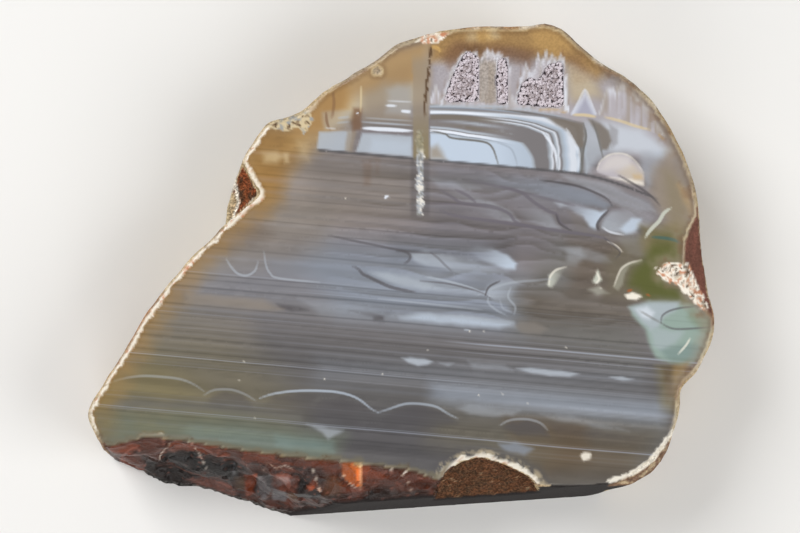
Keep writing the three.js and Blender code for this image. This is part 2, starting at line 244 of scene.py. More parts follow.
# Thin level bands: depth, half width, and how much lighter (or darker) at the left, middle and right
thinBands = [
    (-108, 1.2, -0.15, -0.15, -0.05), (-104, 3.0, 0.08, 0.08, 0.04), (-96, 2.0, -0.05, -0.08, 0.0),
    (-91, 1.2, -0.1, -0.12, -0.08), (-83, 1.5, -0.18, -0.2, -0.08), (-78, 4.0, 0.1, 0.08, 0.06),
    (-71, 1.5, -0.18, -0.18, -0.08), (-66, 3.0, 0.07, 0.07, 0.04), (-60, 1.4, -0.14, -0.18, -0.08),
    (-50, 2.0, -0.05, -0.08, -0.12), (-44, 3.0, 0.04, 0.04, 0.04), (-37, 1.1, -0.2, -0.26, -0.12),
    (-34, 2.5, 0.07, 0.06, 0.04), (-27, 1.2, -0.08, -0.18, -0.08), (-20, 1.2, -0.1, -0.16, -0.04),
    (-14, 3.0, 0.05, 0.06, 0.0), (-5, 1.8, -0.18, -0.24, -0.12), (-1, 2.5, -0.05, -0.08, 0.0),
    (4, 3.0, 0.1, 0.1, 0.04), (20, 0.9, 0.2, 0.14, 0.0), (22, 1.1, -0.28, -0.28, -0.08),
    (27, 1.4, -0.18, -0.22, -0.18), (31.5, 0.8, 0.0, 0.26, 0.1), (35, 1.7, -0.28, -0.3, -0.15),
    (39, 1.5, 0.1, 0.0, 0.04), (53.5, 1.5, -0.28, -0.34, -0.28), (57, 2.0, 0.1, 0.06, 0.06),
    (62, 0.9, 0.2, 0.14, 0.14), (65, 1.2, -0.2, -0.2, -0.25), (67.8, 1.3, 0.0, 0.04, 0.7),
    (71, 1.6, 0.05, 0.1, 0.14), (74.5, 1.4, -0.2, -0.2, -0.36), (77, 0.8, 0.1, 0.06, 0.3),
    (80.5, 1.2, -0.1, -0.1, -0.15), (83, 1.4, 0.05, 0.14, 0.1), (87, 1.8, -0.2, -0.24, -0.2),
    (90.5, 1.5, 0.04, 0.1, 0.14), (95, 2.2, -0.1, -0.18, -0.15), (98.5, 1.4, 0.05, 0.05, 0.05),
    (101.5, 1.3, -0.2, -0.24, -0.2), (105, 0.8, 0.1, 0.14, 0.14), (106.8, 0.7, 0.5, 0.34, 0.1),
    (108.5, 1.0, -0.25, -0.3, -0.15), (113, 2.0, 0.05, 0.05, 0.08), (116, 0.8, 0.15, 0.14, 0.1),
    (118, 1.0, 0.0, -0.1, -0.05), (123, 3.0, 0.0, 0.08, 0.16), (129, 1.4, 0.0, -0.05, 0.08),
    (140, 2.0, -0.05, -0.1, -0.05), (146, 1.0, 0.05, 0.05, 0.0), (150.5, 1.2, 0.12, -0.08, -0.1),
    (154, 1.4, -0.1, -0.15, -0.1), (158, 1.2, 0.0, 0.0, -0.05), (161.5, 0.8, 0.34, 0.2, 0.1),
    (163.3, 0.9, 0.16, 0.5, 0.6), (166, 1.2, -0.2, -0.24, -0.1), (171, 1.4, -0.1, 0.0, 0.05),
    (175, 1.4, 0.05, -0.14, 0.05), (179, 1.0, -0.1, -0.1, -0.1), (186, 2.5, 0.05, 0.0, 0.0),
]


def bandCurve(side):
    places = sorted({d + s * w for d, w, *amounts in thinBands for s in (-1, 0, 1)})
    heights = [
        sum(amounts[side] * max(0.0, 1 - abs(place - depth) / width) for depth, width, *amounts in thinBands)
        for place in places]
    return places, heights


# The curved bands above the floor line run round a corner. A shape says how far out a band lies
# at some angles from the foot, for the inner and for the outer bands
corner = {
    "left": 430.0,
    "foot": -107.0,
    "stretch": 2.65,
    "innerShape": ([5, 15, 30, 41, 52, 67, 90], [1.0, 1.03, 1.10, 1.17, 1.065, 0.955, 0.91]),
    "outerShape": ([5, 23, 34, 43, 52, 64, 90], [1.0, 1.09, 1.2, 1.32, 1.31, 1.2, 1.03]),
    "toOuter": (40, 47),
    "across": (429, 431, 584, 600),
    "footEdge": (-111.4, -112.6),
    "outerEdge": (60, 58.5),
    "leftTones": (470, 520),
    "shaded": (490, 530),
    "lineReach": (20, 90, 141),
    "lineAngles": (3, 90, 150),
    "lineBands": (30, 60),
}


# Radius at its foot of the band that runs through a place
def cornerRadius(u, v, depth):
    across = np.maximum(u - corner["left"], 0.0) / corner["stretch"]
    up = np.maximum(corner["foot"] - depth, 0.0)
    reach = np.hypot(across, up)
    angle = np.degrees(np.arctan2(up, across + 1e-6))
    inner = reach / np.interp(angle, *corner["innerShape"])
    outer = reach / np.interp(angle, *corner["outerShape"])
    radius = inner + (outer - inner) * smoothStep(*corner["toOuter"], (inner + outer) / 2)
    return radius + 0.5 * lumps(u / 30, v / 18, 3.0)


# Colour of the curved bands by radius: radius, colour at the right of the corner, colour at the left
cornerBands = [
    (0, "paleBlue", "paleBlue"), (33, "paleBlue", "paleBlue"), (34.6, "paleBlue", "haze"),
    (35.6, "paleBlue", "blueGrey"), (36.6, "paleBlue", "white"), (38.4, "paleBlue", "white"),
    (39.4, "haze", "bandGrey"), (40.4, "bandGrey", "haze"), (41.6, "bandGrey", "haze"),
    (42.8, "bandGrey", "bandGrey"), (44.4, "bandGrey", "bandBrown"), (45.3, "haze", "bandBrown"),
    (46.1, "white", "bandBrown"), (46.9, "bandGrey", "bandBrown"), (47.8, "haze", "bandBrown"),
    (48.6, "white", "bandGrey"), (49.4, "bandGrey", "haze"), (50.2, "haze", "white"),
    (51.4, "paleBlue", "white"), (53.2, "white", "haze"), (54.8, "white", "bandGrey"),
    (55.8, "paleBlue", "haze"), (56.8, "ash", "haze"), (57.8, "bandGrey", "bandGrey"),
    (58.8, "haze", "tanGrey"), (61.0, "haze", "tanGrey"), (90, "haze", "tanGrey"),
]


def paintCorner(u, v, depth, colour, amount):
    radius = cornerRadius(u, v, depth)
    stops = [row[0] for row in cornerBands]
    left = 1 - smoothStep(*corner["leftTones"], u)
    shade = 1 - 0.07 * smoothStep(*corner["shaded"], u)
    mask = (smoothStep(*corner["footEdge"], depth) * smoothStep(*corner["outerEdge"], radius)
            * within(u, corner["across"]))
    for channel in range(3):
        atRight, atLeft = (
            np.interp(radius, stops, [palette[row[side]][channel] for row in cornerBands])
            for side in (1, 2))
        tone = (atRight + (atLeft - atRight) * left) * shade
        colour[:, channel] += (tone - colour[:, channel]) * mask
    amount *= 1 - mask


# Lines along the curved bands, one at each change of colour
def cornerLines():
    reach = np.linspace(*corner["lineReach"])
    first, last = corner["lineBands"]
    stops = [row[0] for row in cornerBands if first < row[0] < last]
    places = []
    for angle in np.radians(np.linspace(*corner["lineAngles"])):
        u = corner["left"] + corner["stretch"] * reach * np.cos(angle)
        depth = corner["foot"] - reach * np.sin(angle)
        v = sheetRow(u, depth)
        found = np.interp(stops, cornerRadius(u, v, depth), reach)
        places.append(np.column_stack([np.interp(found, reach, u), np.interp(found, reach, v)]))
    return list(np.array(places).transpose(1, 0, 2))


# Marks on the face: colour, strength, softness, outline. Names of the lists say which way they run
topPatches = [
    ("cream", 0.7, 8, [(312, 118), (320, 96), (345, 78), (400, 52), (428, 44), (428, 104), (385, 104),
        (330, 124)]),
    ("honey", 0.6, 9, [(314, 116), (324, 96), (345, 82), (350, 100), (336, 118)]),
    ("tanGrey", 0.8, 8, [(362, 88), (385, 72), (412, 62), (413, 125), (362, 122)]),
    ("tan", 0.9, 7, [(292, 118), (318, 92), (346, 84), (346, 108), (318, 132), (298, 132)]),
    ("tan", 0.7, 9, [(316, 96), (345, 72), (400, 46), (428, 40), (428, 84), (385, 84), (340, 104),
        (320, 124)]),
    ("haze", 0.4, 5, [(388, 90), (398, 84), (412, 84), (412, 116), (386, 114)]),
    ("fringe", 0.7, 9, [(430, 56), (566, 62), (600, 74), (640, 96), (668, 140), (672, 160), (604, 150),
        (430, 112)]),
    ("amber", 0.85, 7, [(430, 34), (470, 26), (545, 22), (575, 40), (612, 70), (596, 80), (566, 62),
        (510, 52), (430, 62)]),
    ("cream", 0.6, 4, [(484, 27), (498, 27), (500, 38), (488, 40)]),
    ("honey", 0.6, 4, [(474, 30), (490, 28), (493, 40), (478, 42)]),
    ("cream", 0.45, 4, [(466, 32), (476, 30), (478, 42), (468, 42)]),
    ("brown", 0.8, 7, [(442, 56), (456, 42), (484, 46), (500, 46), (535, 50), (530, 64), (506, 60),
        (484, 56), (464, 56), (450, 68)]),
    ("umber", 0.35, 5, [(460, 46), (482, 46), (484, 54), (464, 54)]),
    ("tanGrey", 0.6, 6, [(566, 66), (600, 84), (606, 104), (590, 96), (574, 104), (568, 90)]),
]

# Those that lie over the curved bands
upperPatches = [
    ("honey", 0.45, 6, [(530, 30), (556, 24), (574, 44), (566, 58), (534, 46)]),
    ("brown", 0.4, 5, [(560, 50), (580, 58), (596, 80), (576, 84), (566, 66)]),
    ("haze", 0.75, 6, [(603, 122), (640, 130), (671, 150), (663, 159), (645, 153), (612, 152), (598, 160),
        (590, 172), (583, 168), (584, 122)]),
    ("white", 0.4, 7, [(604, 122), (640, 128), (668, 150), (655, 156), (612, 150)]),
    ("haze", 0.5, 5, [(640, 152), (668, 150), (660, 164), (648, 190), (642, 176)]),
    ("bandBrown", 0.95, 2, [(545, 117), (566, 119), (583, 123), (585, 134), (583, 148), (577, 146),
        (568, 132)]),
    ("bandBrown", 0.9, 2.2, [(588, 119), (600, 123), (609, 131), (612, 141), (607, 150), (601, 150),
        (597, 134)]),
    ("bandGrey", 0.5, 2, [(609, 124), (618, 130), (618, 144), (612, 148)]),
    ("haze", 0.9, 1.6, [(319, 132), (352, 131), (349, 152), (317, 149)]),
    ("haze", 0.95, 1.6, [(362, 133), (412, 136), (412, 157), (356, 152)]),
    ("paleBlue", 0.4, 4, [(372, 138), (410, 141), (410, 156), (370, 152)]),
    ("tanGrey", 0.7, 2, [(347, 131), (356, 131), (352, 152), (345, 152)]),
    ("haze", 0.35, 3, [(322, 112), (350, 111), (350, 130), (324, 130)]),
    ("cream", 0.5, 7, [(566, 64), (590, 74), (600, 96), (572, 100)]),
    ("brown", 0.75, 2.5, [(353, 108), (362, 108), (361, 129), (352, 131)]),
    ("tanGrey", 0.8, 5, [(430, 148), (438, 146), (446, 160), (430, 160)]),
    ("fringe", 0.95, 1.2, [(596, 172), (599, 163), (607, 156), (616, 154), (626, 155), (634, 161),
        (641, 168), (644, 176), (643, 185), (630, 182), (612, 178)]),
    ("chalk", 0.35, 5, [(600, 170), (606, 158), (617, 155), (630, 158), (632, 168), (616, 170)]),
    ("cream", 0.4, 4, [(616, 172), (634, 164), (643, 174), (643, 184), (628, 181)]),
    ("chalk", 0.6, 1.5, [(606, 177), (632, 179), (643, 182), (643, 186), (630, 183)]),
    ("honey", 0.4, 2.5, [(632, 174), (641, 174), (643, 179), (634, 179)]),
    ("tanGrey", 0.75, 8, [(654, 168), (672, 152), (686, 185), (694, 228), (684, 240), (667, 230),
        (656, 206), (650, 190)]),
    ("olive", 0.3, 8, [(664, 170), (680, 180), (690, 215), (680, 236), (668, 215)]),
    ("honey", 0.5, 4, [(678, 184), (688, 190), (696, 214), (690, 216), (684, 202)]),
    ("cream", 0.7, 5, [(262, 153), (276, 151), (284, 157), (276, 163), (264, 162)]),
    ("cream", 0.55, 2.5, [(284, 153), (289, 153), (289, 163), (285, 164)]),
    ("cream", 0.3, 5, [(298, 140), (308, 142), (308, 160), (300, 156)]),
]

# Bent strokes: colour, strength, half width, points
topStrokes = [
    ("white", 0.95, 2.0, [(362, 128), (385, 129.5), (412, 131)]),
    ("haze", 0.8, 0.9, [(362, 122), (412, 125.4)]),
    ("ash", 0.6, 0.8, [(362, 125), (412, 128)]),
    ("haze", 0.5, 0.8, [(366, 118), (412, 121)]),
    ("ash", 0.4, 0.7, [(366, 120), (412, 123)]),
    # painted highlights: two short white glints on the polished face
    ("white", 0.8, 1.3, [(386, 105.5), (396, 106)]),
    ("white", 0.9, 1.6, [(401, 111), (411, 112)]),
    ("white", 0.5, 0.8, [(388, 101), (411, 102)]),
    ("cream", 0.8, 1.0, [(361, 86), (361, 100), (360.5, 112)]),
    ("white", 0.9, 1.4, [(357, 112.5), (357.5, 114)]),
    ("brown", 0.45, 1.6, [(333, 92), (334, 104), (332, 118)]),
    ("brown", 0.6, 1.4, [(326, 112), (327, 122), (330, 130)]),
    ("haze", 0.5, 1.2, [(338, 118), (349, 117)]),
    ("haze", 0.45, 1.0, [(337, 123), (349, 122)]),
    ("white", 0.45, 0.9, [(326, 128), (336, 129)]),
    ("blueGrey", 0.7, 1.0, [(430, 107.5), (480, 109.5), (520, 113)]),
    ("haze", 0.8, 1.2, [(430, 105), (480, 106), (520, 109), (545, 112)]),
    ("bandGrey", 0.8, 1.1, [(430, 109.6), (480, 111), (530, 115), (560, 118), (583, 124)]),
    ("ash", 0.95, 1.0, [(431, 131), (445, 134), (452, 138), (478, 141), (488, 143.5), (493, 149),
        (496, 157), (498, 164)]),
    ("blueGrey", 0.35, 0.9, [(498, 143), (510, 148), (515, 157), (517, 165)]),
    ("white", 0.85, 1.3, [(542, 132), (550, 142), (555, 152), (557, 168)]),
    ("ash", 0.9, 1.1, [(583, 123), (586, 136), (583, 152), (582, 171)]),
    ("ash", 0.7, 1.0, [(592, 120), (597, 134), (601, 150), (603, 158)]),
    ("white", 0.55, 1.5, [(566, 128), (574, 142), (579, 154), (578, 170)]),
    ("chalk", 0.5, 0.9, [(597, 170), (600, 162), (608, 155.5), (617, 153.5), (627, 155), (636, 162),
        (643, 172)]),
    ("honey", 0.4, 1.6, [(540, 109.5), (556, 110), (566, 113)]),
    ("cream", 0.9, 1.6, [(573, 115), (584, 115), (596, 117)]),
    ("white", 0.5, 0.9, [(572, 113), (578, 102), (585, 90), (591, 102), (596, 114)]),
    ("cream", 0.75, 1.5, [(604, 117), (620, 121), (635, 126), (650, 130)]),
    ("honey", 0.5, 1.4, [(658, 134), (664, 140)]),
    ("honey", 0.8, 2.0, [(431, 47), (437, 48), (441, 52)]), ("rust", 0.7, 1.6, [(375, 72), (378, 71)]),
]

# The same, but placed by depth below the middle instead of height on the sheet
depthPatches = [
    ("haze", 0.75, 2.5, [(380, 52), (392, 46), (420, 42), (470, 40), (515, 42), (518, 50), (470, 53),
        (400, 53.5)], (0, -1)),
    ("paleBlue", 0.75, 4, [(400, 49), (420, 44), (470, 43), (510, 46), (500, 50), (450, 50)]),
    ("dark", 0.6, 2.2, [(276, 45), (300, 46), (308, 49), (292, 51.5), (282, 50)]),
    ("dark", 0.7, 1.8, [(348, 45), (370, 45.5), (384, 48.5), (384, 52.5), (374, 53.5), (372, 50),
        (360, 47.5)]),
    ("warmGrey", 0.7, 3, [(520, 42), (534, 41), (548, 46), (540, 52), (522, 53), (516, 48)]),
    ("blueGrey", 0.75, 2.5, [(361, 3), (380, 1), (410, 3), (440, 7), (470, 13), (484, 20), (450, 20.5),
        (420, 21), (400, 18.5), (384, 14), (370, 8)], (-1, 0)),
    ("haze", 0.6, 3, [(368, 6), (390, 5), (420, 10), (444, 16), (424, 19.5), (404, 17), (386, 13)]),
    ("tanGrey", 0.5, 4, [(186, 41), (262, 42), (284, 50), (270, 53), (186, 53)]),
    ("haze", 0.3, 5, [(300, 38), (360, 40), (384, 46), (372, 51), (320, 52)]),
    ("haze", 0.35, 3, [(372, 4), (430, 4), (482, 15), (486, 19), (420, 18), (392, 14)]),
    ("blueGrey", 0.3, 5, [(268, -1), (350, -1), (372, 9), (392, 18), (280, 18), (266, 10)]),
    ("haze", 0.9, 1.8, [(402, 88), (410, 86.4), (425, 87), (433, 89.5), (427, 93), (418, 95), (408, 92)]),
    ("haze", 0.5, 1.6, [(438, 89), (455, 89.6), (448, 92.5)]),
    ("haze", 0.35, 3, [(468, 86), (505, 86), (512, 91), (474, 92)]),
    ("haze", 0.85, 1.5, [(516, 89), (530, 87), (560, 87), (580, 88.6), (570, 92), (550, 93), (530, 92)]),
    ("haze", 0.8, 1.3, [(608, 89), (622, 87.3), (634, 89.6), (622, 91.6)]),
    ("dark", 0.45, 3, [(206, 152), (212, 143), (224, 139), (240, 139), (250, 145), (254, 153), (230, 158)],
        (0, -1)),
    ("dark", 0.4, 3, [(262, 150), (275, 138), (300, 133), (318, 133), (310, 148), (280, 158)], (0, -1)),
    ("dark", 0.5, 3, [(306, 150), (322, 138), (342, 134), (360, 137), (376, 149), (350, 158)], (0, -1)),
    ("dark", 0.55, 3, [(382, 153), (392, 143), (407, 136), (425, 134.5), (440, 138), (458, 149),
        (430, 160)], (0, -1)),
    ("dark", 0.5, 3, [(502, 150), (512, 142), (528, 140), (542, 144), (552, 154), (520, 159)], (0, -1)),
    ("slate", 0.5, 4, [(382, 151), (392, 143), (407, 136), (425, 134.5), (440, 138), (456, 147),
        (430, 156)]),
    ("slate", 0.5, 3, [(502, 148), (512, 142), (528, 140), (542, 144), (550, 152), (520, 156)]),
    ("dark", 0.35, 5, [(550, 142), (600, 144), (650, 152), (640, 158), (560, 158)], (0, -1)),
    ("haze", 0.4, 3, [(456, 134), (470, 128), (486, 129), (504, 132), (520, 130), (512, 136), (492, 139),
        (470, 139)]),
    ("haze", 0.3, 3, [(540, 132), (570, 131), (600, 136), (630, 142), (600, 141), (560, 138)]),
    ("haze", 0.6, 2.6, [(306, 163), (330, 164), (344, 165), (337, 170), (329, 176), (322, 170)]),
    ("blueGrey", 0.8, 3, [(498, 165), (515, 163), (534, 168), (524, 175), (505, 172)]),
]
depthStrokes = [
    ("haze", 0.45, 1.2, [(104, 142), (120, 134.5), (140, 129.5), (160, 128.3), (180, 129), (194, 133),
        (204, 139)]),
    ("haze", 0.4, 1.2, [(204, 143), (214, 137), (230, 135), (244, 138), (256, 144)]),
    ("paleBlue", 0.7, 1.2, [(260, 141), (275, 135), (300, 130), (330, 128), (348, 129.6), (360, 134),
        (370, 141), (378, 145)]),
    ("paleBlue", 0.55, 1.2, [(378, 145), (390, 140), (405, 134), (420, 132.6), (436, 134), (448, 140),
        (458, 144)]),
    ("haze", 0.5, 1.2, [(500, 147), (510, 141), (526, 138.6), (540, 141), (548, 148)]),
    ("dark", 0.6, 1.7, [(352, 1), (358, 3), (363, 8), (368, 10), (378, 14), (388, 17.7), (400, 20),
        (416, 21.5)]),
    ("dark", 0.5, 1.2, [(328, -28), (350, -25), (376, -22), (404, -19), (440, -19)]),
    ("haze", 0.6, 1.1, [(226, 4), (231, 12), (238, 18.5), (247, 19.5), (255, 14), (258, 5)]),
    ("haze", 0.6, 1.0, [(264, -6), (266, 7), (270, 15), (279, 19.5), (320, 20)]),
    ("haze", 0.7, 1.1, [(426, 5), (450, 8), (470, 12), (485, 17), (494, 20)]),
    ("haze", 0.5, 1.1, [(490, 16), (488, 25), (496, 32), (506, 36)]),
    ("haze", 0.5, 1.1, [(511, 8), (508, 18), (515, 27), (514, 35)]),
    ("haze", 0.4, 0.9, [(500, 22), (503, 30), (512, 33)]),
    ("haze", 0.5, 0.9, [(378, 31), (430, 32), (482, 33)]),
    ("haze", 0.7, 0.9, [(464, 54.6), (470, 54.6)]),
]
middlePatches = [
    ("haze", 0.7, 2.5, [(411, 254), (425, 251), (450, 255), (470, 267), (480, 277), (450, 271), (425, 265),
        (413, 260)], (-1, 0)),
    ("haze", 0.4, 3, [(560, 174), (612, 184), (650, 204), (656, 212), (622, 208), (600, 194), (570, 182)]),
    ("blueGrey", 0.75, 4, [(440, 172), (500, 176), (560, 183), (590, 191), (612, 205), (604, 209),
        (580, 204), (556, 199), (520, 190), (480, 181)], (1, 0)),
    ("haze", 0.5, 2.5, [(440, 191), (466, 193), (492, 202), (513, 213), (490, 208), (462, 203)], (1, 0.3)),
    ("haze", 0.45, 2.5, [(469, 207), (492, 207), (515, 216), (520, 222), (500, 219), (478, 213)], (1, 0.3)),
    ("haze", 0.5, 3, [(514, 208), (534, 207), (550, 215), (560, 228), (548, 229), (528, 222)], (1, 0.3)),
    ("haze", 0.35, 3, [(560, 247), (580, 246), (606, 256), (613, 263), (596, 262), (575, 256)]),
    ("haze", 0.35, 4, [(424, 176), (450, 180), (480, 188), (470, 191), (440, 187)]),
    ("paleBlue", 0.95, 2.2, [(556, 203), (575, 205), (590, 209), (600, 212), (606, 210), (600, 220),
        (595, 229), (589, 227), (584, 218), (570, 210)], (1, 0.4)),
    # painted highlight: a small white glint
    ("haze", 0.6, 2.5, [(554, 201), (562, 202), (566, 206), (560, 208)]),
    ("bandBrown", 0.35, 3, [(568, 211), (581, 214), (588, 224), (586, 232), (574, 226)]),
    ("haze", 0.75, 3, [(601, 228), (604, 217), (612, 211), (640, 208), (658, 211), (664, 210), (655, 220),
        (645, 228), (632, 234), (612, 233)], (-0.8, 1)),
    ("paleBlue", 0.85, 2.5, [(620, 229), (631, 218), (642, 219), (636, 230), (626, 234)]),
    ("slate", 0.6, 2, [(636, 231), (642, 226), (651, 232), (642, 237)]),
    ("haze", 0.35, 4, [(618, 238), (640, 236), (654, 246), (650, 256), (628, 254)]),
    ("paleBlue", 0.95, 2.5, [(466, 250), (478, 246), (492, 249), (506, 255), (517, 263), (515, 269),
        (505, 269), (490, 263), (478, 258)], (1, 0.6)),
    ("haze", 0.35, 4, [(430, 258), (452, 256), (474, 262), (508, 272), (480, 274), (444, 268)]),
    ("haze", 0.4, 4, [(566, 250), (580, 249), (586, 257), (576, 265), (566, 262)]),
    ("bone", 0.85, 1.6, [(547, 285), (549, 275), (556, 269), (566, 267), (562, 273), (557, 281),
        (552, 288)], (-1, 0)),
    ("bone", 0.95, 1.5, [(592, 282), (595, 275), (598, 269), (602, 280), (597, 284)]),
    ("bone", 0.5, 2.5, [(588, 290), (598, 286), (610, 294), (597, 295)]),
    ("bone", 0.85, 1.6, [(613, 287), (617, 276), (620, 268), (628, 263), (642, 259), (641, 262), (630, 266),
        (625, 273), (623, 284), (618, 291)]),
    ("haze", 0.65, 3, [(485, 292), (488, 286), (500, 282), (516, 280), (534, 279), (518, 286), (512, 296),
        (517, 304), (506, 303), (494, 300)], (-1, -0.4)),
    ("oliveGrey", 0.6, 9, [(622, 238), (655, 238), (650, 300), (606, 296), (606, 262)]),
    ("olive", 0.6, 6, [(640, 226), (690, 222), (690, 262), (660, 264), (642, 250)]),
    ("green", 0.4, 6, [(650, 232), (690, 230), (690, 264), (656, 264)]),
    ("green", 0.9, 8, [(652, 246), (684, 245), (685, 258), (674, 262), (664, 268), (666, 282), (678, 288),
        (692, 304), (672, 303), (648, 300), (638, 291), (628, 286), (632, 270), (644, 258)]),
    ("mint", 0.9, 3, [(629, 306), (650, 302), (690, 303), (711, 316), (716, 332), (704, 354), (688, 366),
        (668, 362), (655, 357), (649, 342), (645, 329), (632, 315)]),
    ("haze", 0.75, 3.5, [(629, 307), (645, 302), (680, 301), (676, 309), (664, 316), (658, 327), (650, 330),
        (640, 320)]),
    ("white", 0.6, 3, [(636, 309), (646, 306), (654, 312), (650, 320), (642, 317)]),
    ("haze", 0.5, 4, [(650, 330), (662, 328), (684, 332), (676, 344), (662, 352), (654, 346)]),
    ("green", 0.25, 5, [(690, 306), (712, 318), (714, 336), (700, 330), (688, 318)]),
    ("teal", 0.7, 4, [(660, 350), (690, 344), (704, 346), (696, 362), (672, 364)]),
    ("olive", 0.5, 7, [(656, 366), (688, 362), (684, 392), (678, 414), (662, 408)]),
    ("amber", 0.5, 4, [(672, 366), (688, 362), (686, 386), (680, 406), (674, 396)]),
    ("umber", 0.4, 4, [(662, 368), (672, 366), (674, 390), (668, 402)]),
    ("chalk", 0.95, 1.2, [(624, 295), (632, 292), (643, 296), (636, 300), (627, 299)]),
    ("chalk", 0.85, 1.2, [(580, 455), (584, 452), (591, 453), (590, 459), (583, 461)]),
]
middleStrokes = [
    ("dark", 0.5, 1.4, [(396, 251), (404, 251.5), (410, 255), (409, 260), (404, 264)]),
    ("dark", 0.35, 1.2, [(430, 252), (438, 258), (446, 266), (452, 271)]),
    ("dark", 0.7, 1.2, [(540, 180), (575, 185.5), (598, 194), (608, 200), (612, 206)]),
    ("violet", 0.75, 1.7, [(500, 186), (520, 192), (535, 203), (548, 211), (556, 214), (560, 222),
        (568, 228)]),
    ("violet", 0.75, 1.6, [(440, 190), (452, 197), (462, 203), (490, 206), (508, 213), (516, 222),
        (532, 227)]),
    ("violet", 0.65, 1.5, [(456, 190), (468, 196), (476, 203)]),
    ("violet", 0.6, 1.1, [(424, 203), (470, 205), (500, 210)]),
    ("violet", 0.8, 1.8, [(440, 210), (456, 216), (500, 222), (560, 231), (600, 237), (612, 244)]),
    ("dark", 0.6, 1.1, [(556, 214), (560, 224), (572, 231)]),
    ("dark", 0.75, 1.4, [(608, 211), (601, 218), (597, 225), (599, 231)]),
    ("bone", 0.9, 2.0, [(671, 208), (664, 213), (659, 221), (653, 227), (648, 233), (645, 238)]),
    ("deepTeal", 0.7, 1.6, [(652, 237), (664, 238), (674, 240), (682, 244)]),
    ("chalk", 0.55, 1.1, [(549, 286), (550, 277), (556, 270), (566, 267)]),
    ("chalk", 0.6, 1.0, [(596, 271), (599, 279), (595, 284)]),
    ("chalk", 0.55, 1.0, [(614, 286), (618, 275), (622, 268), (630, 263), (641, 260)]),
    ("white", 0.7, 1.0, [(602, 227), (610, 232), (624, 235)]),
    ("violet", 0.5, 1.4, [(470, 180), (520, 192), (556, 201), (575, 206)]),
    ("chalk", 0.7, 1.0, [(607, 241), (616, 246), (622, 252)]),
    ("dark", 0.55, 1.0, [(604, 238), (612, 244), (620, 252), (616, 258)]),
    ("dark", 0.6, 1.2, [(618, 175), (640, 188), (652, 197), (660, 206)]),
    ("haze", 0.4, 1.2, [(476, 296), (505, 284), (540, 280), (552, 279)]),
    ("dark", 0.7, 1.0, [(485, 296), (489, 287), (500, 281)]),
    ("dark", 0.5, 0.9, [(420, 281), (450, 284), (480, 292), (490, 298)]),
    ("chalk", 0.8, 1.3, [(654, 269), (657, 267)]),
    ("rust", 0.7, 1.2, [(627, 291), (632, 290)]), ("rust", 0.6, 1.0, [(646, 294), (650, 296)]),
    ("slate", 0.6, 1.0, [(661, 323), (662, 316), (669, 311), (680, 308), (694, 306.5)]),
    ("slate", 0.55, 1.0, [(661, 323), (668, 327), (676, 329), (692, 328.5), (711, 327)]),
    ("ash", 0.4, 1.2, [(640, 311), (652, 318), (661, 323)]),
    ("chalk", 0.7, 1.0, [(690, 338), (686, 345), (678, 354)]),
    # painted highlight in a tiny pit, with the white ring at the end of this list
    ("haze", 0.6, 0.9, [(386, 197), (387, 199)]),
    # small white specks and tiny chips
    *[("chalk", 0.9, 0.9, [(x, y), (x + 1, y + 0.3)]) for x, y in (
        (469, 331), (483, 331), (565, 347), (382, 374), (478, 395), (502, 394), (527, 403),
        (243, 361), (239, 380),
        (324, 379), (255, 418), (427, 350), (345, 198), (600, 288))],
    # painted highlight: the white ring of a tiny pit
    ("white", 0.9, 1.2, [(385, 199), (386, 196.6), (389, 196.4)]),
]


# The points that an outline, or a bent line, may reach
def nearBox(u, v, points, reach):
    low = np.min(points, axis=0) - reach
    high = np.max(points, axis=0) + reach
    return np.flatnonzero((u > low[0]) & (u < high[0]) & (v > low[1]) & (v < high[1]))


def paintPatches(u, v, colour, amount, patches):
    wobble = 1.6
    for name, strength, soft, plan, *fade in patches:
        near = nearBox(u, v, plan, soft + wobble)
        x, y = u[near], v[near]
        share = wobble * min(1.0, soft / 3)
        x, y = x + share * layeredLumps(x / 11, y / 8, 4.0), y + share * layeredLumps(x / 11, y / 8, 14.0)
        mask = smoothStep(-soft, soft, insideBy(x, y, plan)) * strength
        for toward in fade:
            along = np.array(plan) @ toward
            mask *= smoothStep(along.min(), along.max(), x * toward[0] + y * toward[1]) * 0.9 + 0.1
        colour[near] += (np.array(palette[name], float) - colour[near]) * mask[:, None]
        amount[near] *= 1 - 0.6 * mask


def paintStrokes(u, v, colour, amount, strokes):
    for name, strength, width, points in strokes:
        near = nearBox(u, v, points, width + 3)
        distance, place = nearLine(u[near], v[near], curved(points))
        taper = np.sqrt(np.clip(4 * place * (1 - place), 0, 1) * 0.9 + 0.1)
        mask = smoothStep(width * taper + 0.7, width * taper - 0.7, distance) * strength
        colour[near] += (np.array(palette[name], float) - colour[near]) * mask[:, None]
        amount[near] *= 1 - mask


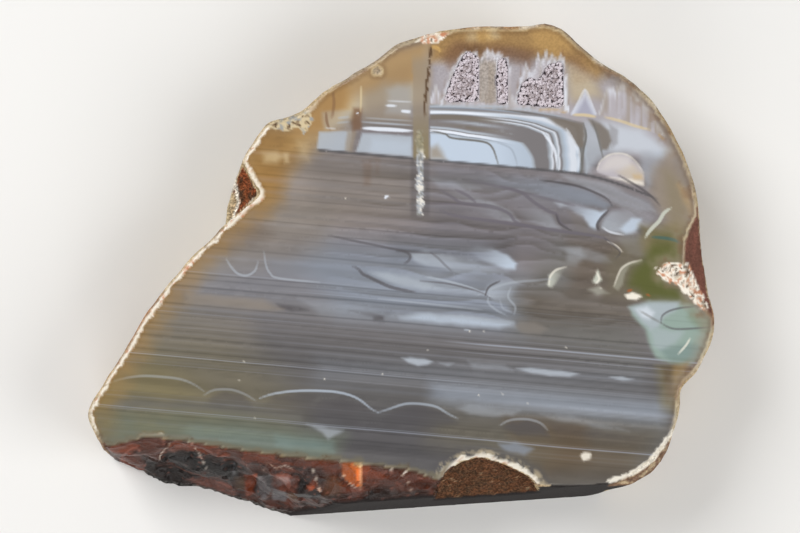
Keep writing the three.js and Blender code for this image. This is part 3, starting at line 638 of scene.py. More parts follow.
# Spiky fringes of coarse quartz along the top: height of the tips across each, and where its foot
# starts, with the slope of the foot
fringes = [
    {"colour": "fringe", "strength": 0.8, "tan": 0.3, "brown": 0.45, "jag": 3.0, "streak": 1.5,
     "foot": (104, 430, 0.075),
     "tips": [(431, 96), (436, 84), (441, 100), (445, 88), (451, 72), (458, 61), (465, 50), (470, 57),
              (476, 50), (480, 60), (487, 48), (492, 51), (498, 52), (503, 59), (508, 58), (511, 76),
              (513, 103)]},
    {"colour": "fringe", "strength": 0.8, "tan": 0.3, "brown": 0.45, "jag": 3.0, "streak": 1.5,
     "foot": (104, 430, 0.075),
     "tips": [(513, 104), (517, 92), (521, 76), (526, 63), (530, 74), (534, 69), (538, 53), (542, 63),
              (546, 50), (549, 58), (552, 52), (556, 60), (560, 55), (564, 62), (567, 84), (569, 112)]},
    {"colour": "lilac", "strength": 0.8, "tan": 0.0, "brown": 0.0, "jag": 0.6, "streak": 9.0,
     "foot": (115, 600, 0.33),
     "tips": [(570, 114), (576, 106), (581, 98), (585, 90), (589, 99), (593, 107), (597, 116)]},
    {"colour": "fringe", "strength": 0.55, "tan": 0.5, "brown": 0.0, "jag": 4.0, "streak": 2.4,
     "foot": (115, 600, 0.33),
     "tips": [(598, 118), (602, 100), (608, 86), (616, 90), (624, 82), (632, 90), (642, 98), (652, 112),
              (662, 130), (669, 150)]},
]
fringeFloor = 156
sugarColumn = {
    "across": (478, 480, 495, 497), "down": (58, 64, 102, 104),
    "grainAcross": (476, 480, 495, 499), "grainDown": (56, 60, 103, 105),
}
fringeEdge = {"foot": (560, 60), "lean": 0.14, "down": (58, 64, 110, 113)}


def paintFringes(u, v, colour, amount):
    for index, fringe in enumerate(fringes):
        tips = np.array(fringe["tips"], float)
        near = np.flatnonzero((u > tips[0, 0]) & (u < tips[-1, 0]) & (v < fringeFloor))
        x, y = u[near], v[near]
        tip = np.interp(x, *tips.T) + fringe["jag"] * lumps(x / 1.7, index * 3.1)
        level, start, slope = fringe["foot"]
        foot = level + slope * np.maximum(x - start, 0)
        body = smoothStep(tip - 3, tip + 4, y) * smoothStep(foot + 1, foot - 1, y)
        streaks = 0.5 + 0.5 * lumps(x / fringe["streak"], y / 26, 5.0 + index)
        part = colour[near]
        brown = smoothStep(-14, 0, y - tip) * (y < tip) * smoothStep(0.45, 0.9, streaks)
        blend(part, fringe["brown"] * brown, "brown")
        blend(part, fringe["strength"] * body, fringe["colour"])
        blend(part, body * (0.6 * smoothStep(13, 0, y - tip) + 0.2 * smoothStep(0.5, 0.9, streaks)), "white")
        blend(part, fringe["tan"] * body * smoothStep(0.55, 0.2, streaks), "tanGrey")
        colour[near] = part
        amount[near] *= 1 - body
    blend(colour, 0.6 * within(u, sugarColumn["across"]) * within(v, sugarColumn["down"]), "tanGrey")
    footU, footV = fringeEdge["foot"]
    edge = smoothStep(2.6, 1.2, np.abs(u - footU - (v - footV) * fringeEdge["lean"]))
    blend(colour, 0.75 * edge * within(v, fringeEdge["down"]), "white")


# Pitted crusts along the edge: their colour, the colour of the pits, and the outline
crusts = [
    ("chalk", "rust", [(657, 273), (664, 264), (676, 262), (688, 264), (692, 272), (697, 284), (703, 296),
        (709, 309), (702, 310), (692, 300), (683, 292), (676, 283), (664, 281)]),
    ("cream", "blueGrey", [(260, 128), (272, 117), (290, 118), (308, 111), (314, 118), (310, 128),
        (304, 134), (298, 128), (285, 131), (270, 128)]),
    ("chalk", "rust", [(416, 42), (424, 34), (444, 32), (450, 34), (440, 42), (430, 44)]),
    ("brown", "cream", [(668, 438), (664, 448), (652, 462), (636, 474), (612, 483), (604, 488),
        (630, 488), (650, 480), (668, 462), (676, 440)]),
]
rightRind = [(672, 432), (664, 444), (650, 460), (634, 472), (610, 481)]


def paintCrusts(u, v, colour, amount):
    for index, (name, pitName, plan) in enumerate(crusts):
        near = nearBox(u, v, plan, 4)
        x, y = u[near], v[near]
        inside = insideBy(x + 1.4 * lumps(x / 3, y / 3), y + 1.4 * lumps(x / 3, y / 3, 7.0), plan)
        body = smoothStep(-0.8, 0.8, inside)
        pits = layeredLumps(x / 3.4, y / 3.4, 3.0 + index)
        part = colour[near]
        blend(part, body, name)
        blend(part, body * smoothStep(0.0, 0.4, pits) * 0.7, pitName)
        blend(part, body * smoothStep(0.1, 0.45, -pits) * smoothStep(1.0, 3.0, inside), "umber")
        colour[near] = part
        amount[near] *= 1 - body
    edge = nearLine(u, v, curved(rightRind))[0]
    ragged = 2.4 + 1.2 * lumps(u / 4, v / 4, 6.0)
    blend(colour, smoothStep(ragged + 0.8, ragged - 0.8, edge) * 0.9, "chalk")


# The white rind that curls round the bottom pocket
bottomPocketPlan = [(431, 516), (437, 486), (445, 471), (462, 459.5), (481, 456.5), (499, 461), (517, 468),
                    (531, 476), (540, 488), (545, 516)]


def paintPocketFringe(u, v, colour):
    near = nearBox(u, v, bottomPocketPlan, 16)
    x, y = u[near], v[near]
    away = -insideBy(x, y, bottomPocketPlan) + 3.0 * layeredLumps(x / 7, y / 7, 2.0)
    curl = layeredLumps(x / 4, y / 4, 8.0)
    part = colour[near]
    blend(part, 0.4 * smoothStep(16, 8, away), "slate")
    blend(part, smoothStep(10, 6, away) * smoothStep(-0.25, 0.25, curl) * 0.55, "cream")
    blend(part, smoothStep(4.5, 2.5, away) * 0.85, "chalk")
    blend(part, smoothStep(2.5, 0.5, away) * smoothStep(0.0, 0.5, -curl) * 0.6, "rust")
    colour[near] = part


# The upright crack, its clear strip, and the beads of the white seam below it
crackPlaces = {
    "strip": (412, 414.5, 427.5, 430),
    "stripDown": (50, 66, 156, 162),
    "oliveDown": (100, 150),
    "shadow": (409, 412, 428, 431),
    "shadowDown": (155, 160, 212, 222),
    "line": 430.4,
    "lineDrift": (45, 118),
    "lineDown": (45, 49, 108, 120),
    "beads": 420.0,
    "beadsDown": (128, 134, 214, 217),
    "beadsNarrow": (158, 130),
    "beadsOlive": (156, 146),
}


def paintCrack(u, v, colour, amount):
    at = crackPlaces
    strip = within(u, at["strip"]) * within(v, at["stripDown"])
    blend(colour, 0.75 * strip, "tanGrey")
    blend(colour, 0.5 * strip * smoothStep(*at["oliveDown"], v), "olive")
    amount *= 1 - strip
    blend(colour, 0.35 * within(u, at["shadow"]) * within(v, at["shadowDown"]), "dark")
    line = at["line"] - 6.0 * smoothStep(*at["lineDrift"], v) + 0.9 * lumps(v / 5, 1.0)
    crack = smoothStep(1.6, 0.7, np.abs(u - line)) * within(v, at["lineDown"])
    blend(colour, 0.95 * crack, "umber")
    width = 3.3 + 1.3 * lumps(v / 3.2, 4.0) - 1.2 * smoothStep(*at["beadsNarrow"], v)
    bead = smoothStep(width + 0.8, width - 0.8, np.abs(u - at["beads"] - 0.8 * lumps(v / 6, 8.0)))
    bead *= within(v, at["beadsDown"])
    blend(colour, bead * 0.8, "haze")
    fleck = lumps(u / 1.7, v / 2.1, 2.0)
    blend(colour, bead * smoothStep(-0.2, 0.5, fleck) * 0.8, "chalk")
    blend(colour, bead * smoothStep(0.1, 0.6, -fleck) * 0.5, "oliveGrey")
    blend(colour, bead * smoothStep(*at["beadsOlive"], v) * 0.6, "olive")
    amount *= 1 - bead


# The dark line on which the curved bands stand
floorLinePlaces = {"across": (316, 320, 640, 662), "gap": (412, 415, 427, 430)}


def paintFloorLine(u, depth, colour):
    line = smoothStep(2.0, 0.6, np.abs(depth - levels["floorLine"])) * within(u, floorLinePlaces["across"])
    blend(colour, 0.8 * line * (1 - within(u, floorLinePlaces["gap"])), "slate")


# Where each look of the rim starts and is full, across and down the sheet
rimAcross = {
    "glow": (330, 270), "olive": (300, 200), "rind": (330, 300), "broken": (455, 440),
    # thin: where the painted highlight along the polished edge lies
    "outer": (560, 600), "thin": (300, 330),
}
rimDown = {
    "glow": (120, 170), "glowFoot": (430, 395), "olive": (360, 400), "oliveFoot": (440, 420),
    "rindFoot": (440, 428), "broken": (428, 438), "outer": (60, 90), "outerFoot": (420, 380),
    "thinFoot": (440, 400),
}


def paintRim(u, v, rim, colour, amount):
    across = {name: smoothStep(*ends, u) for name, ends in rimAcross.items()}
    down = {name: smoothStep(*ends, v) for name, ends in rimDown.items()}
    wobble = layeredLumps(u / 9, v / 9, 2.0)
    glow = smoothStep(34, 4, rim + 7 * wobble) * across["glow"] * down["glow"] * down["glowFoot"]
    blend(colour, 0.55 * glow, "amber")
    low = smoothStep(22, 2, rim + 5 * wobble) * across["olive"] * down["olive"]
    blend(colour, 0.45 * low * down["oliveFoot"], "olive")
    rind = smoothStep(5.5, 3.5, rim + 2.2 * wobble) * across["rind"] * down["rindFoot"]
    speck = layeredLumps(u / 2.6, v / 2.6, 5.0)
    blend(colour, 0.9 * rind, "chalk")
    blend(colour, rind * smoothStep(0.15, 0.6, speck) * 0.7, "rust")
    blend(colour, rind * smoothStep(0.25, 0.7, -speck) * 0.5, "brown")
    broken = across["broken"] * down["broken"]
    amberEdge = smoothStep(8, 5, rim + 2.2 * wobble) * across["rind"] * (1 - rind) * (1 - broken)
    blend(colour, 0.5 * amberEdge, "deepAmber")
    chipped = smoothStep(7.5, 3.5, rim + 3 * layeredLumps(u / 6, v / 6, 9.0)) * broken
    blend(colour, 0.75 * chipped, "oliveGrey")
    blend(colour, 0.5 * chipped * smoothStep(0.2, 0.6, layeredLumps(u / 3, v / 3, 3.0)), "umber")
    outer = smoothStep(20, 4, rim + 6 * wobble) * across["outer"] * down["outerFoot"]
    blend(colour, 0.6 * outer * down["outer"], "tanGrey")
    blend(colour, 0.45 * outer * smoothStep(0.0, 0.5, layeredLumps(u / 7, v / 7, 12.0)), "brown")
    # painted highlight: a thin cream line along the polished rounded edge at the top and right, with brown
    # flecks in it
    top = across["thin"] * down["thinFoot"]
    thin = smoothStep(4.4, 2.2, rim) * top
    tone = layeredLumps(u / 14, v / 14, 15.0)
    # painted shade: a faint umber band just inside that highlight
    blend(colour, 0.25 * smoothStep(9.0, 4.0, rim) * top * (1 - thin), "umber")
    blend(colour, thin * (0.55 + 0.25 * tone), "cream")
    blend(colour, thin * smoothStep(0.0, 0.5, -tone) * 0.7, "brown")
    amount *= 1 - np.clip(rind + thin, 0, 1)


# Soft light and dark bands that bend round each other, sharp on one side
flowPlaces = {
    "shaded": (250, 470, 630, 668), "shadedDown": (-112, -100, 30, 56),
    "turning": (380, 560), "calmer": (470, 560),
    "strong": (430, 520, 620, 665), "strongDown": (-112, -90, 0, 34),
}


def flowShade(u, depth):
    at = flowPlaces
    strength = within(u, at["shaded"]) * within(depth, at["shadedDown"])
    turn = layeredLumps(u / 48, depth / 17, 11.0, 2)
    phase = depth / 13 + 1.25 * turn * smoothStep(*at["turning"], u) + 0.35 * turn
    saw = phase - np.floor(phase)
    shade = smoothStep(0.0, 0.2, saw) * (1 - saw) - 0.42
    return (0.26 - 0.1 * smoothStep(*at["calmer"], u)) * shade * strength


# Depths where the ground tint of the whole face turns, and where the level bands start
groundDepths = {"ash": (-30, 160), "slate": (40, 70), "bands": (-113, -111)}


def paintFace(u, v, rim):
    straight = depthOf(u, v)
    flow = within(u, flowPlaces["strong"]) * within(straight, flowPlaces["strongDown"])
    depth = straight + (0.7 + 5.5 * flow) * layeredLumps(u / 80, straight / 24, 1.0, 2)
    colour = np.tile(np.array(palette["purpleGrey"], float), (len(u), 1))
    amount = 1 - 0.75 * flow
    blend(colour, 0.9 * smoothStep(*groundDepths["ash"], depth), "ash")
    blend(colour, 0.35 * smoothStep(*groundDepths["slate"], depth), "slate")
    paintPatches(u, v, colour, np.ones(len(u)), basePatches)
    colour *= (1 + 0.05 * lumps(u / 120, depth / 1.5, 2.0) + 0.06 * lumps(u / 200, depth / 4.0, 6.0))[:, None]
    colour *= 1 + flowShade(u, straight)[:, None] * (0.9, 1.0, 1.2)
    amount *= smoothStep(*groundDepths["bands"], straight)
    paintPatches(u, v, colour, amount, topPatches)
    paintCorner(u, v, straight, colour, amount)
    paintPatches(u, v, colour, amount, upperPatches)
    paintFringes(u, v, colour, amount)
    paintStrokes(u, v, colour, amount, topStrokes)
    paintPatches(u, straight, colour, amount, depthPatches)
    paintPatches(u, v, colour, amount, middlePatches)
    paintStrokes(u, straight, colour, amount, depthStrokes)
    paintStrokes(u, v, colour, amount, middleStrokes)
    paintFloorLine(u, straight, colour)
    paintCrack(u, v, colour, amount)
    paintPocketFringe(u, v, colour)
    paintRim(u, v, rim, colour, amount)
    paintCrusts(u, v, colour, amount)
    return colour, amount, depth


# The stone's surface: a finer copy of the solid, with its natural skin roughened

stoneSurface = {
    "voxel": 0.45,
    "skinKnobs": 0.2,
    "skinKnobSize": 2.4,
    "skinGrain": 0.07,
    "skinGrainSize": 0.8,
    "matrixGrain": 0.42,
    "matrixGrainSize": 0.85,
    "fractureRipple": 0.04,
    "fractureRippleSize": 1.6,
    "rimWander": 0.12,
    "faceInland": 0.4,
    "borderGap": 0.12,
    "coarseStep": 0.56,
    "finePoints": 42500,
    "strokeStep": 1.4,
    "contrastLimit": 20.0,
    "fractureSmoothing": 14,
    "facetSize": 2.6,
    "facetDepth": 0.55,
    "leftPocket": [(-22.2, 12.2), (-24.0, 15.0), (-25.0, 17.4), (-27.6, 18.9), (-33.0, 16.0), (-33.0, 5.0),
                   (-29.4, 6.0), (-24.4, 10.0)],
    "bottomPocket": [(4.8, -39.5), (5.7, -34.7), (7.0, -32.3), (9.7, -30.4), (12.8, -29.9), (15.7, -30.6),
                     (18.5, -31.8), (20.8, -33.1), (22.2, -35.0), (22.8, -39.5)],
    "vugs": [[(6.2, 26.2), (13.0, 26.3), (13.0, 34.8), (10.7, 35.8), (8.6, 33.8), (7.2, 31.0)],
             [(14.8, 25.8), (17.7, 25.8), (17.6, 34.0), (15.5, 35.0), (14.7, 31.0)],
             [(17.9, 25.8), (26.6, 25.4), (26.4, 34.0), (22.8, 33.6), (21.6, 31.0), (20.0, 31.5),
              (18.8, 30.4)]],
    "grain": {"skin": 0.3, "matrix": 0.55, "fracture": 0.12, "ground": 0.25, "worn": 0.2},
    "bump": {"skin": 0.6, "matrix": 1.0, "fracture": 0.12, "ground": 0.1, "worn": 0.15},
    "roughness": {"skin": 0.65, "matrix": 0.95, "fracture": 0.34, "ground": 0.9, "worn": 0.7},
    "polish": 0.12,
    "amberGrain": 0.10,
    "sugarGrain": 0.16,
    "amberPlace": {"across": (430, 440), "down": (100, 60)},
    "faceLayer": 0.16,
    "vugFloor": 15.0,
    "groundLayer": -0.35,
    "matrixHeights": (8.0, 17.75),
    "ground": {"at": (-19.7, -40.9), "riseAlongX": 0.067, "leanIn": 0.17},
    "fracture": {"left": -47.6, "right": 8.5, "top": -26.4},
    "worn": {"left": 44.4, "bottom": -8.6, "top": 10.0},
}


def toUnits(points):
    return drawingCentre[0] + points[:, 0] / drawingUnit, drawingCentre[1] - points[:, 1] / drawingUnit


# Places lower down drawn on the face's sheet, towards the middle as they lie deeper
def toSheet(points):
    nearer = 1 / (1 + (faceHeight - points[:, 2]) / studio["distance"])
    aimX, aimY = studio["aim"]
    x = aimX + (points[:, 0] - aimX) * nearer
    y = aimY + (points[:, 1] - aimY) * nearer
    return drawingCentre[0] + x / drawingUnit, drawingCentre[1] - y / drawingUnit


def remeshed(node, voxel):
    mesh = node.data.copy()
    work = bmesh.new()
    work.from_mesh(mesh)
    bmesh.ops.remove_doubles(work, verts=work.verts, dist=1e-6)
    work.to_mesh(mesh)
    work.free()
    obj = bpy.data.objects.new("remeshWork", mesh)
    bpy.context.scene.collection.objects.link(obj)
    modifier = obj.modifiers.new("voxels", "REMESH")
    modifier.mode = "VOXEL"
    modifier.voxel_size = voxel * mm
    depsgraph = bpy.context.evaluated_depsgraph_get()
    made = bpy.data.meshes.new_from_object(obj.evaluated_get(depsgraph))
    bpy.data.objects.remove(obj)
    return made


def meshArrays(mesh):
    count = len(mesh.vertices)
    points = np.empty(count * 3)
    normals = np.empty(count * 3)
    mesh.vertices.foreach_get("co", points)
    mesh.vertices.foreach_get("normal", normals)
    points = points.reshape(-1, 3) / mm
    points[:, 0] -= drawingShift[0]
    points[:, 1] -= drawingShift[1]
    return points, normals.reshape(-1, 3)


def storePoints(mesh, points):
    moved = points.copy()
    moved[:, 0] += drawingShift[0]
    moved[:, 1] += drawingShift[1]
    mesh.vertices.foreach_set("co", (moved * mm).ravel())
    mesh.update()


def storeField(mesh, name, values):
    attribute = mesh.attributes.new(name, "FLOAT", "POINT")
    attribute.data.foreach_set("value", values.astype(np.float32))


def storeColour(mesh, name, colours):
    share = np.clip(colours, 0, 255) / 255
    linear = np.where(share <= 0.04045, share / 12.92, ((share + 0.055) / 1.055) ** 2.4)
    attribute = mesh.attributes.new(name, "FLOAT_COLOR", "POINT")
    values = np.column_stack([linear, np.ones(len(linear))])
    attribute.data.foreach_set("color", values.ravel().astype(np.float32))


def inPlan(points, plan):
    return insideBy(points[:, 0], points[:, 1], plan) > 0


def surfaceZones(points, normals, size):
    x, y, z = points.T
    onFace = z > faceHeight - size["faceLayer"]
    inVug = np.zeros(len(points), bool)
    for plan in size["vugs"]:
        inVug |= inPlan(points, plan) & (z > size["vugFloor"])
    ground = size["ground"]
    outside = (ground["at"][1] + ground["riseAlongX"] * (x - ground["at"][0]) + ground["leanIn"] * z) - y
    onGround = (outside > size["groundLayer"]) & (normals[:, 1] < -0.6)
    low, high = size["matrixHeights"]
    matrix = (inPlan(points, size["leftPocket"]) & (normals[:, 0] > -0.75) & (normals[:, 2] > 0.2)
              | inPlan(points, size["bottomPocket"]) & (normals[:, 2] > 0.3)) & (z < high) & (z > low)
    matrix &= ~onGround
    broken = size["fracture"]
    fracture = (x > broken["left"]) & (x < broken["right"]) & (y < broken["top"]) & (z > 0.2)
    fracture &= ~(onFace | onGround | matrix)
    worn = (x > size["worn"]["left"]) & (y > size["worn"]["bottom"]) & (y < size["worn"]["top"])
    worn &= (normals[:, 2] > 0.55) & ~onFace
    skin = ~(onFace | inVug | onGround | matrix | fracture | worn) & (z > 0.25)
    return {"onFace": onFace, "inVug": inVug, "ground": onGround, "matrix": matrix, "fracture": fracture,
            "worn": worn, "skin": skin}


def rimTree(points, zones):
    edge = np.flatnonzero(~zones["onFace"] & ~zones["inVug"] & (points[:, 2] > faceHeight - 1.2))
    tree = kdtree.KDTree(len(edge))
    for i, index in enumerate(edge):
        tree.insert((points[index, 0], points[index, 1], 0.0), i)
    tree.balance()
    return tree


def rimDistance(points, tree):
    return np.array([tree.find((x, y, 0.0))[2] for x, y in points[:, :2]])


# Rows of points along both edges of every bent stroke, so that thin lines stay thin
def strokePoints(step):
    lines = [(np.array(line), (0.0,)) for line in cornerLines()]
    for strokes, byDepth in ((topStrokes, False), (middleStrokes, False), (depthStrokes, True)):
        for _, _, width, points in strokes:
            line = np.array(curved(points))
            if byDepth:
                line[:, 1] = sheetRow(line[:, 0], line[:, 1])
            lines.append((line, (-width - 0.7, -width / 2, width / 2, width + 0.7)))
    rows = []
    for line, offsets in lines:
        along = np.concatenate([[0.0], np.cumsum(np.hypot(*np.diff(line, axis=0).T))])
        stops = np.arange(0.0, along[-1] + step, step)
        middle = np.column_stack([np.interp(stops, along, line[:, k]) for k in (0, 1)])
        heading = np.gradient(middle, axis=0)
        heading /= np.linalg.norm(heading, axis=1)[:, None] + 1e-9
        side = np.column_stack([-heading[:, 1], heading[:, 0]])
        rows += [middle + side * offset for offset in offsets]
    u, v = np.vstack(rows).T
    return np.column_stack([u - drawingCentre[0], drawingCentre[1] - v]) * drawingUnit


# Points for the face, close together only where its drawing is fine
def facePoints(tree, size, low, high):
    step = size["coarseStep"] / 2
    xs = np.arange(low[0], high[0], step)
    ys = np.arange(low[1], high[1], step)
    gx, gy = np.meshgrid(xs, ys)
    points = np.column_stack([gx.ravel(), gy.ravel()])
    rim = rimDistance(points, tree) / drawingUnit
    tone = paintFace(*toUnits(points), rim)[0].sum(axis=1).reshape(gx.shape)
    contrast = np.abs(np.gradient(tone)[0]) + np.abs(np.gradient(tone)[1])
    contrast = np.minimum(contrast, size["contrastLimit"]) - 0.001 * rim.reshape(gx.shape)
    row, column = np.indices(gx.shape)
    coarse = (row % 2 == 0) & (column % 2 == 0)
    fine = np.argsort(-np.where(coarse, 0, contrast).ravel(), kind="stable")[: size["finePoints"]]
    return np.vstack([strokePoints(size["strokeStep"]), points[coarse.ravel()], points[fine]])


# The face inside the rim is cut anew: its border is kept, and the points inside are joined to triangles
def refineFace(mesh, size):
    points, normals = meshArrays(mesh)
    zones = surfaceZones(points, normals, size)
    tree = rimTree(points, zones)
    inland = zones["onFace"] & ~zones["inVug"] & (rimDistance(points, tree) > size["faceInland"])
    inland &= np.abs(points[:, 2] - faceHeight) < 1e-3
    work = bmesh.new()
    work.from_mesh(mesh)
    work.verts.ensure_lookup_table()
    taken = [f for f in work.faces if all(inland[v.index] for v in f.verts)]
    region = BVHTree.FromPolygons(
        [(x, y, 0.0) for x, y in points[:, :2]], [[v.index for v in f.verts] for f in taken])
    takenSet = set(taken)
    loop = [e for e in work.edges if len(e.link_faces) == 2 and len(takenSet.intersection(e.link_faces)) == 1]
    border = sorted({v.index for e in loop for v in e.verts})
    number = {index: i for i, index in enumerate(border)}
    sites = [Vector(points[index, :2]) for index in border]
    borderTree = kdtree.KDTree(len(sites))
    for i, site in enumerate(sites):
        borderTree.insert((site.x, site.y, 0.0), i)
    borderTree.balance()
    low, high = points[inland, :2].min(axis=0), points[inland, :2].max(axis=0)
    for x, y in facePoints(tree, size, low, high):
        isClear = borderTree.find((x, y, 0.0))[2] > size["borderGap"]
        if isClear and region.ray_cast((x, y, 1.0), (0, 0, -1))[0] is not None:
            sites.append(Vector((x, y)))
    edges = [(number[e.verts[0].index], number[e.verts[1].index]) for e in loop]
    made, _, triangles, origins, *_ = delaunay_2d_cdt(sites, edges, [], 0, 1e-7)
    kept = [work.verts[index] for index in border]
    bmesh.ops.delete(work, geom=taken, context="FACES")
    corners = []
    for place, origin in zip(made, origins):
        first = min(origin) if origin else len(border)
        if first < len(border):
            corners.append(kept[first])
        else:
            x, y = (place.x + drawingShift[0]) * mm, (place.y + drawingShift[1]) * mm
            corners.append(work.verts.new((x, y, faceHeight * mm)))
    for a, b, c in triangles:
        middle = (made[a] + made[b] + made[c]) / 3
        if region.ray_cast((middle.x, middle.y, 1.0), (0, 0, -1))[0] is None:
            continue
        turn = (made[b] - made[a]).cross(made[c] - made[a])
        order = (a, b, c) if turn > 0 else (a, c, b)
        work.faces.new([corners[i] for i in order])
    loose = [v for v in work.verts if not v.link_faces]
    bmesh.ops.delete(work, geom=loose, context="VERTS")
    flatBack = [f for f in work.faces if all(v.co.z < 0.05 * mm for v in f.verts)]
    bmesh.ops.dissolve_faces(work, faces=flatBack, use_verts=True)
    work.to_mesh(mesh)
    work.free()
    return tree


# The red-brown broken edge below the face: colour, strength, softness, outline
fracturePatches = [
    ("ember", 0.45, 3, [(100, 440), (150, 440), (240, 446), (330, 458), (440, 476), (436, 486), (330, 472),
        (236, 458), (160, 452), (110, 456)]),
    ("ember", 0.4, 3, [(320, 460), (440, 478), (430, 496), (330, 490)]),
    ("black", 0.75, 3, [(140, 462), (165, 466), (205, 476), (236, 498), (150, 490)]),
    ("black", 0.9, 1.5, [(161, 459), (170, 452), (185, 451), (197, 456), (206, 469), (203, 474), (188, 472),
        (166, 464)]),
    ("black", 0.9, 2, [(204, 461), (234, 464), (240, 478), (232, 482), (206, 476)]),
    ("pink", 0.6, 1.5, [(184, 480), (200, 479), (232, 490), (238, 498), (222, 496), (200, 487)]),
    ("pink", 0.6, 1.2, [(118, 460), (130, 454), (144, 458), (146, 474), (132, 478), (120, 470)]),
    ("redBrown", 0.7, 2, [(126, 463), (138, 462), (138, 474), (128, 474)]),
    ("umber", 0.8, 1.0, [(235, 478), (245, 477), (246, 491), (237, 492)]),
    ("ember", 0.85, 0.8, [(245, 476), (256, 474), (254, 494), (247, 497)]),
    ("slate", 0.85, 1.0, [(257, 476), (270, 476), (273, 490), (264, 499), (256, 494)]),
    ("pink", 0.6, 1.2, [(271, 476), (298, 476), (296, 491), (282, 491), (272, 486)]),
    ("haze", 0.3, 1.5, [(275, 479), (292, 478), (292, 484), (278, 486)]),
    ("slate", 0.9, 1.0, [(271, 490), (287, 492), (286, 503), (274, 500)]),
    ("umber", 0.8, 1.2, [(288, 492), (299, 494), (296, 503), (288, 502)]),
    ("black", 0.7, 2, [(298, 478), (308, 480), (307, 500), (298, 500)]),
    ("ember", 0.9, 0.9, [(307, 486), (314, 479), (320, 490), (316, 495)]),
    ("black", 0.9, 1.0, [(308, 492), (316, 487), (321, 494), (320, 499), (308, 499)]),
    ("flame", 0.9, 0.8, [(341, 461), (361, 461), (361, 488), (349, 484), (342, 476)]),
    ("honey", 0.95, 1.2, [(352, 461), (361, 461), (361, 468), (356, 466)]),
    ("umber", 0.5, 3, [(324, 476), (342, 478), (342, 498), (322, 498)]),
    ("black", 0.6, 3, [(364, 488), (430, 490), (430, 500), (364, 500)]),
]
fractureStrokes = [
    ("chalk", 0.8, 0.6, [(172, 442), (166, 450), (160, 459)]),
    ("chalk", 0.7, 0.6, [(191, 443), (198, 456), (208, 475)]),
    ("haze", 0.6, 0.5, [(231, 464), (234, 478)]),
    ("chalk", 0.7, 0.6, [(311, 466), (316, 480), (320, 492)]),
    ("chalk", 0.6, 0.5, [(341, 460), (343, 476), (350, 485), (360, 490)]),
    ("chalk", 0.7, 0.5, [(361, 460), (361, 490)]),
    ("chalk", 0.7, 0.7, [(389, 463), (392, 472)]),
    ("chalk", 0.8, 0.9, [(402, 475), (409, 469)]),
    ("chalk", 0.5, 0.6, [(406, 478), (412, 492)]),
    ("pink", 0.8, 0.8, [(118, 462), (124, 455), (136, 450), (142, 456)]),
    ("pink", 0.7, 0.7, [(166, 462), (200, 478), (236, 492)]),
    ("chalk", 0.5, 0.6, [(262, 470), (268, 466), (276, 471), (284, 466), (292, 470)]),
]


# The pale lip round the left pocket
lipPatches = [("cream", 0.85, 1.5, [(236, 192), (239, 204), (234, 217), (222, 234), (218, 216), (230, 194)])]
lipStrokes = [
    ("chalk", 0.95, 1.6, [(240, 158), (235, 166), (234, 177), (236, 190), (238, 204), (233, 217),
        (223, 232)]),
]


lipBox = {"right": 250, "top": 150, "bottom": 240}


def smoothFracture(mesh, chosen, rounds):
    work = bmesh.new()
    work.from_mesh(mesh)
    work.verts.ensure_lookup_table()
    verts = [work.verts[i] for i in np.flatnonzero(chosen)]
    for _ in range(rounds):
        bmesh.ops.smooth_vert(
            work, verts=verts, factor=0.5, use_axis_x=True, use_axis_y=True, use_axis_z=True)
    work.to_mesh(mesh)
    work.free()


# Flat chips: every point belongs to its nearest cell, and each cell is cut at its own slant
def facets(points, cell):
    place = points / cell
    base = np.floor(place)
    best = np.full(len(points), 1e9)
    depth = np.zeros(len(points))
    tone = np.zeros(len(points))
    for i in (-1, 0, 1):
        for j in (-1, 0, 1):
            for k in (-1, 0, 1):
                corner = base + (i, j, k)
                jitter = np.column_stack([hashed(*(corner + n).T) for n in (0.3, 5.7, 9.1)])
                offset = place - corner - jitter
                distance = (offset**2).sum(axis=1)
                slope = np.column_stack([hashed(*(corner + n).T) for n in (2.3, 4.9, 7.7)]) * 2 - 1
                nearer = distance < best
                best = np.where(nearer, distance, best)
                depth = np.where(nearer, (offset * slope).sum(axis=1) - 0.5, depth)
                tone = np.where(nearer, hashed(*(corner + 6.1).T), tone)
    return depth, np.sqrt(best), tone


# Heights between which the marks of the face's edge fade down the sides
sideFades = {"crusts": (12.5, 15.0), "lip": (5.0, 8.0)}


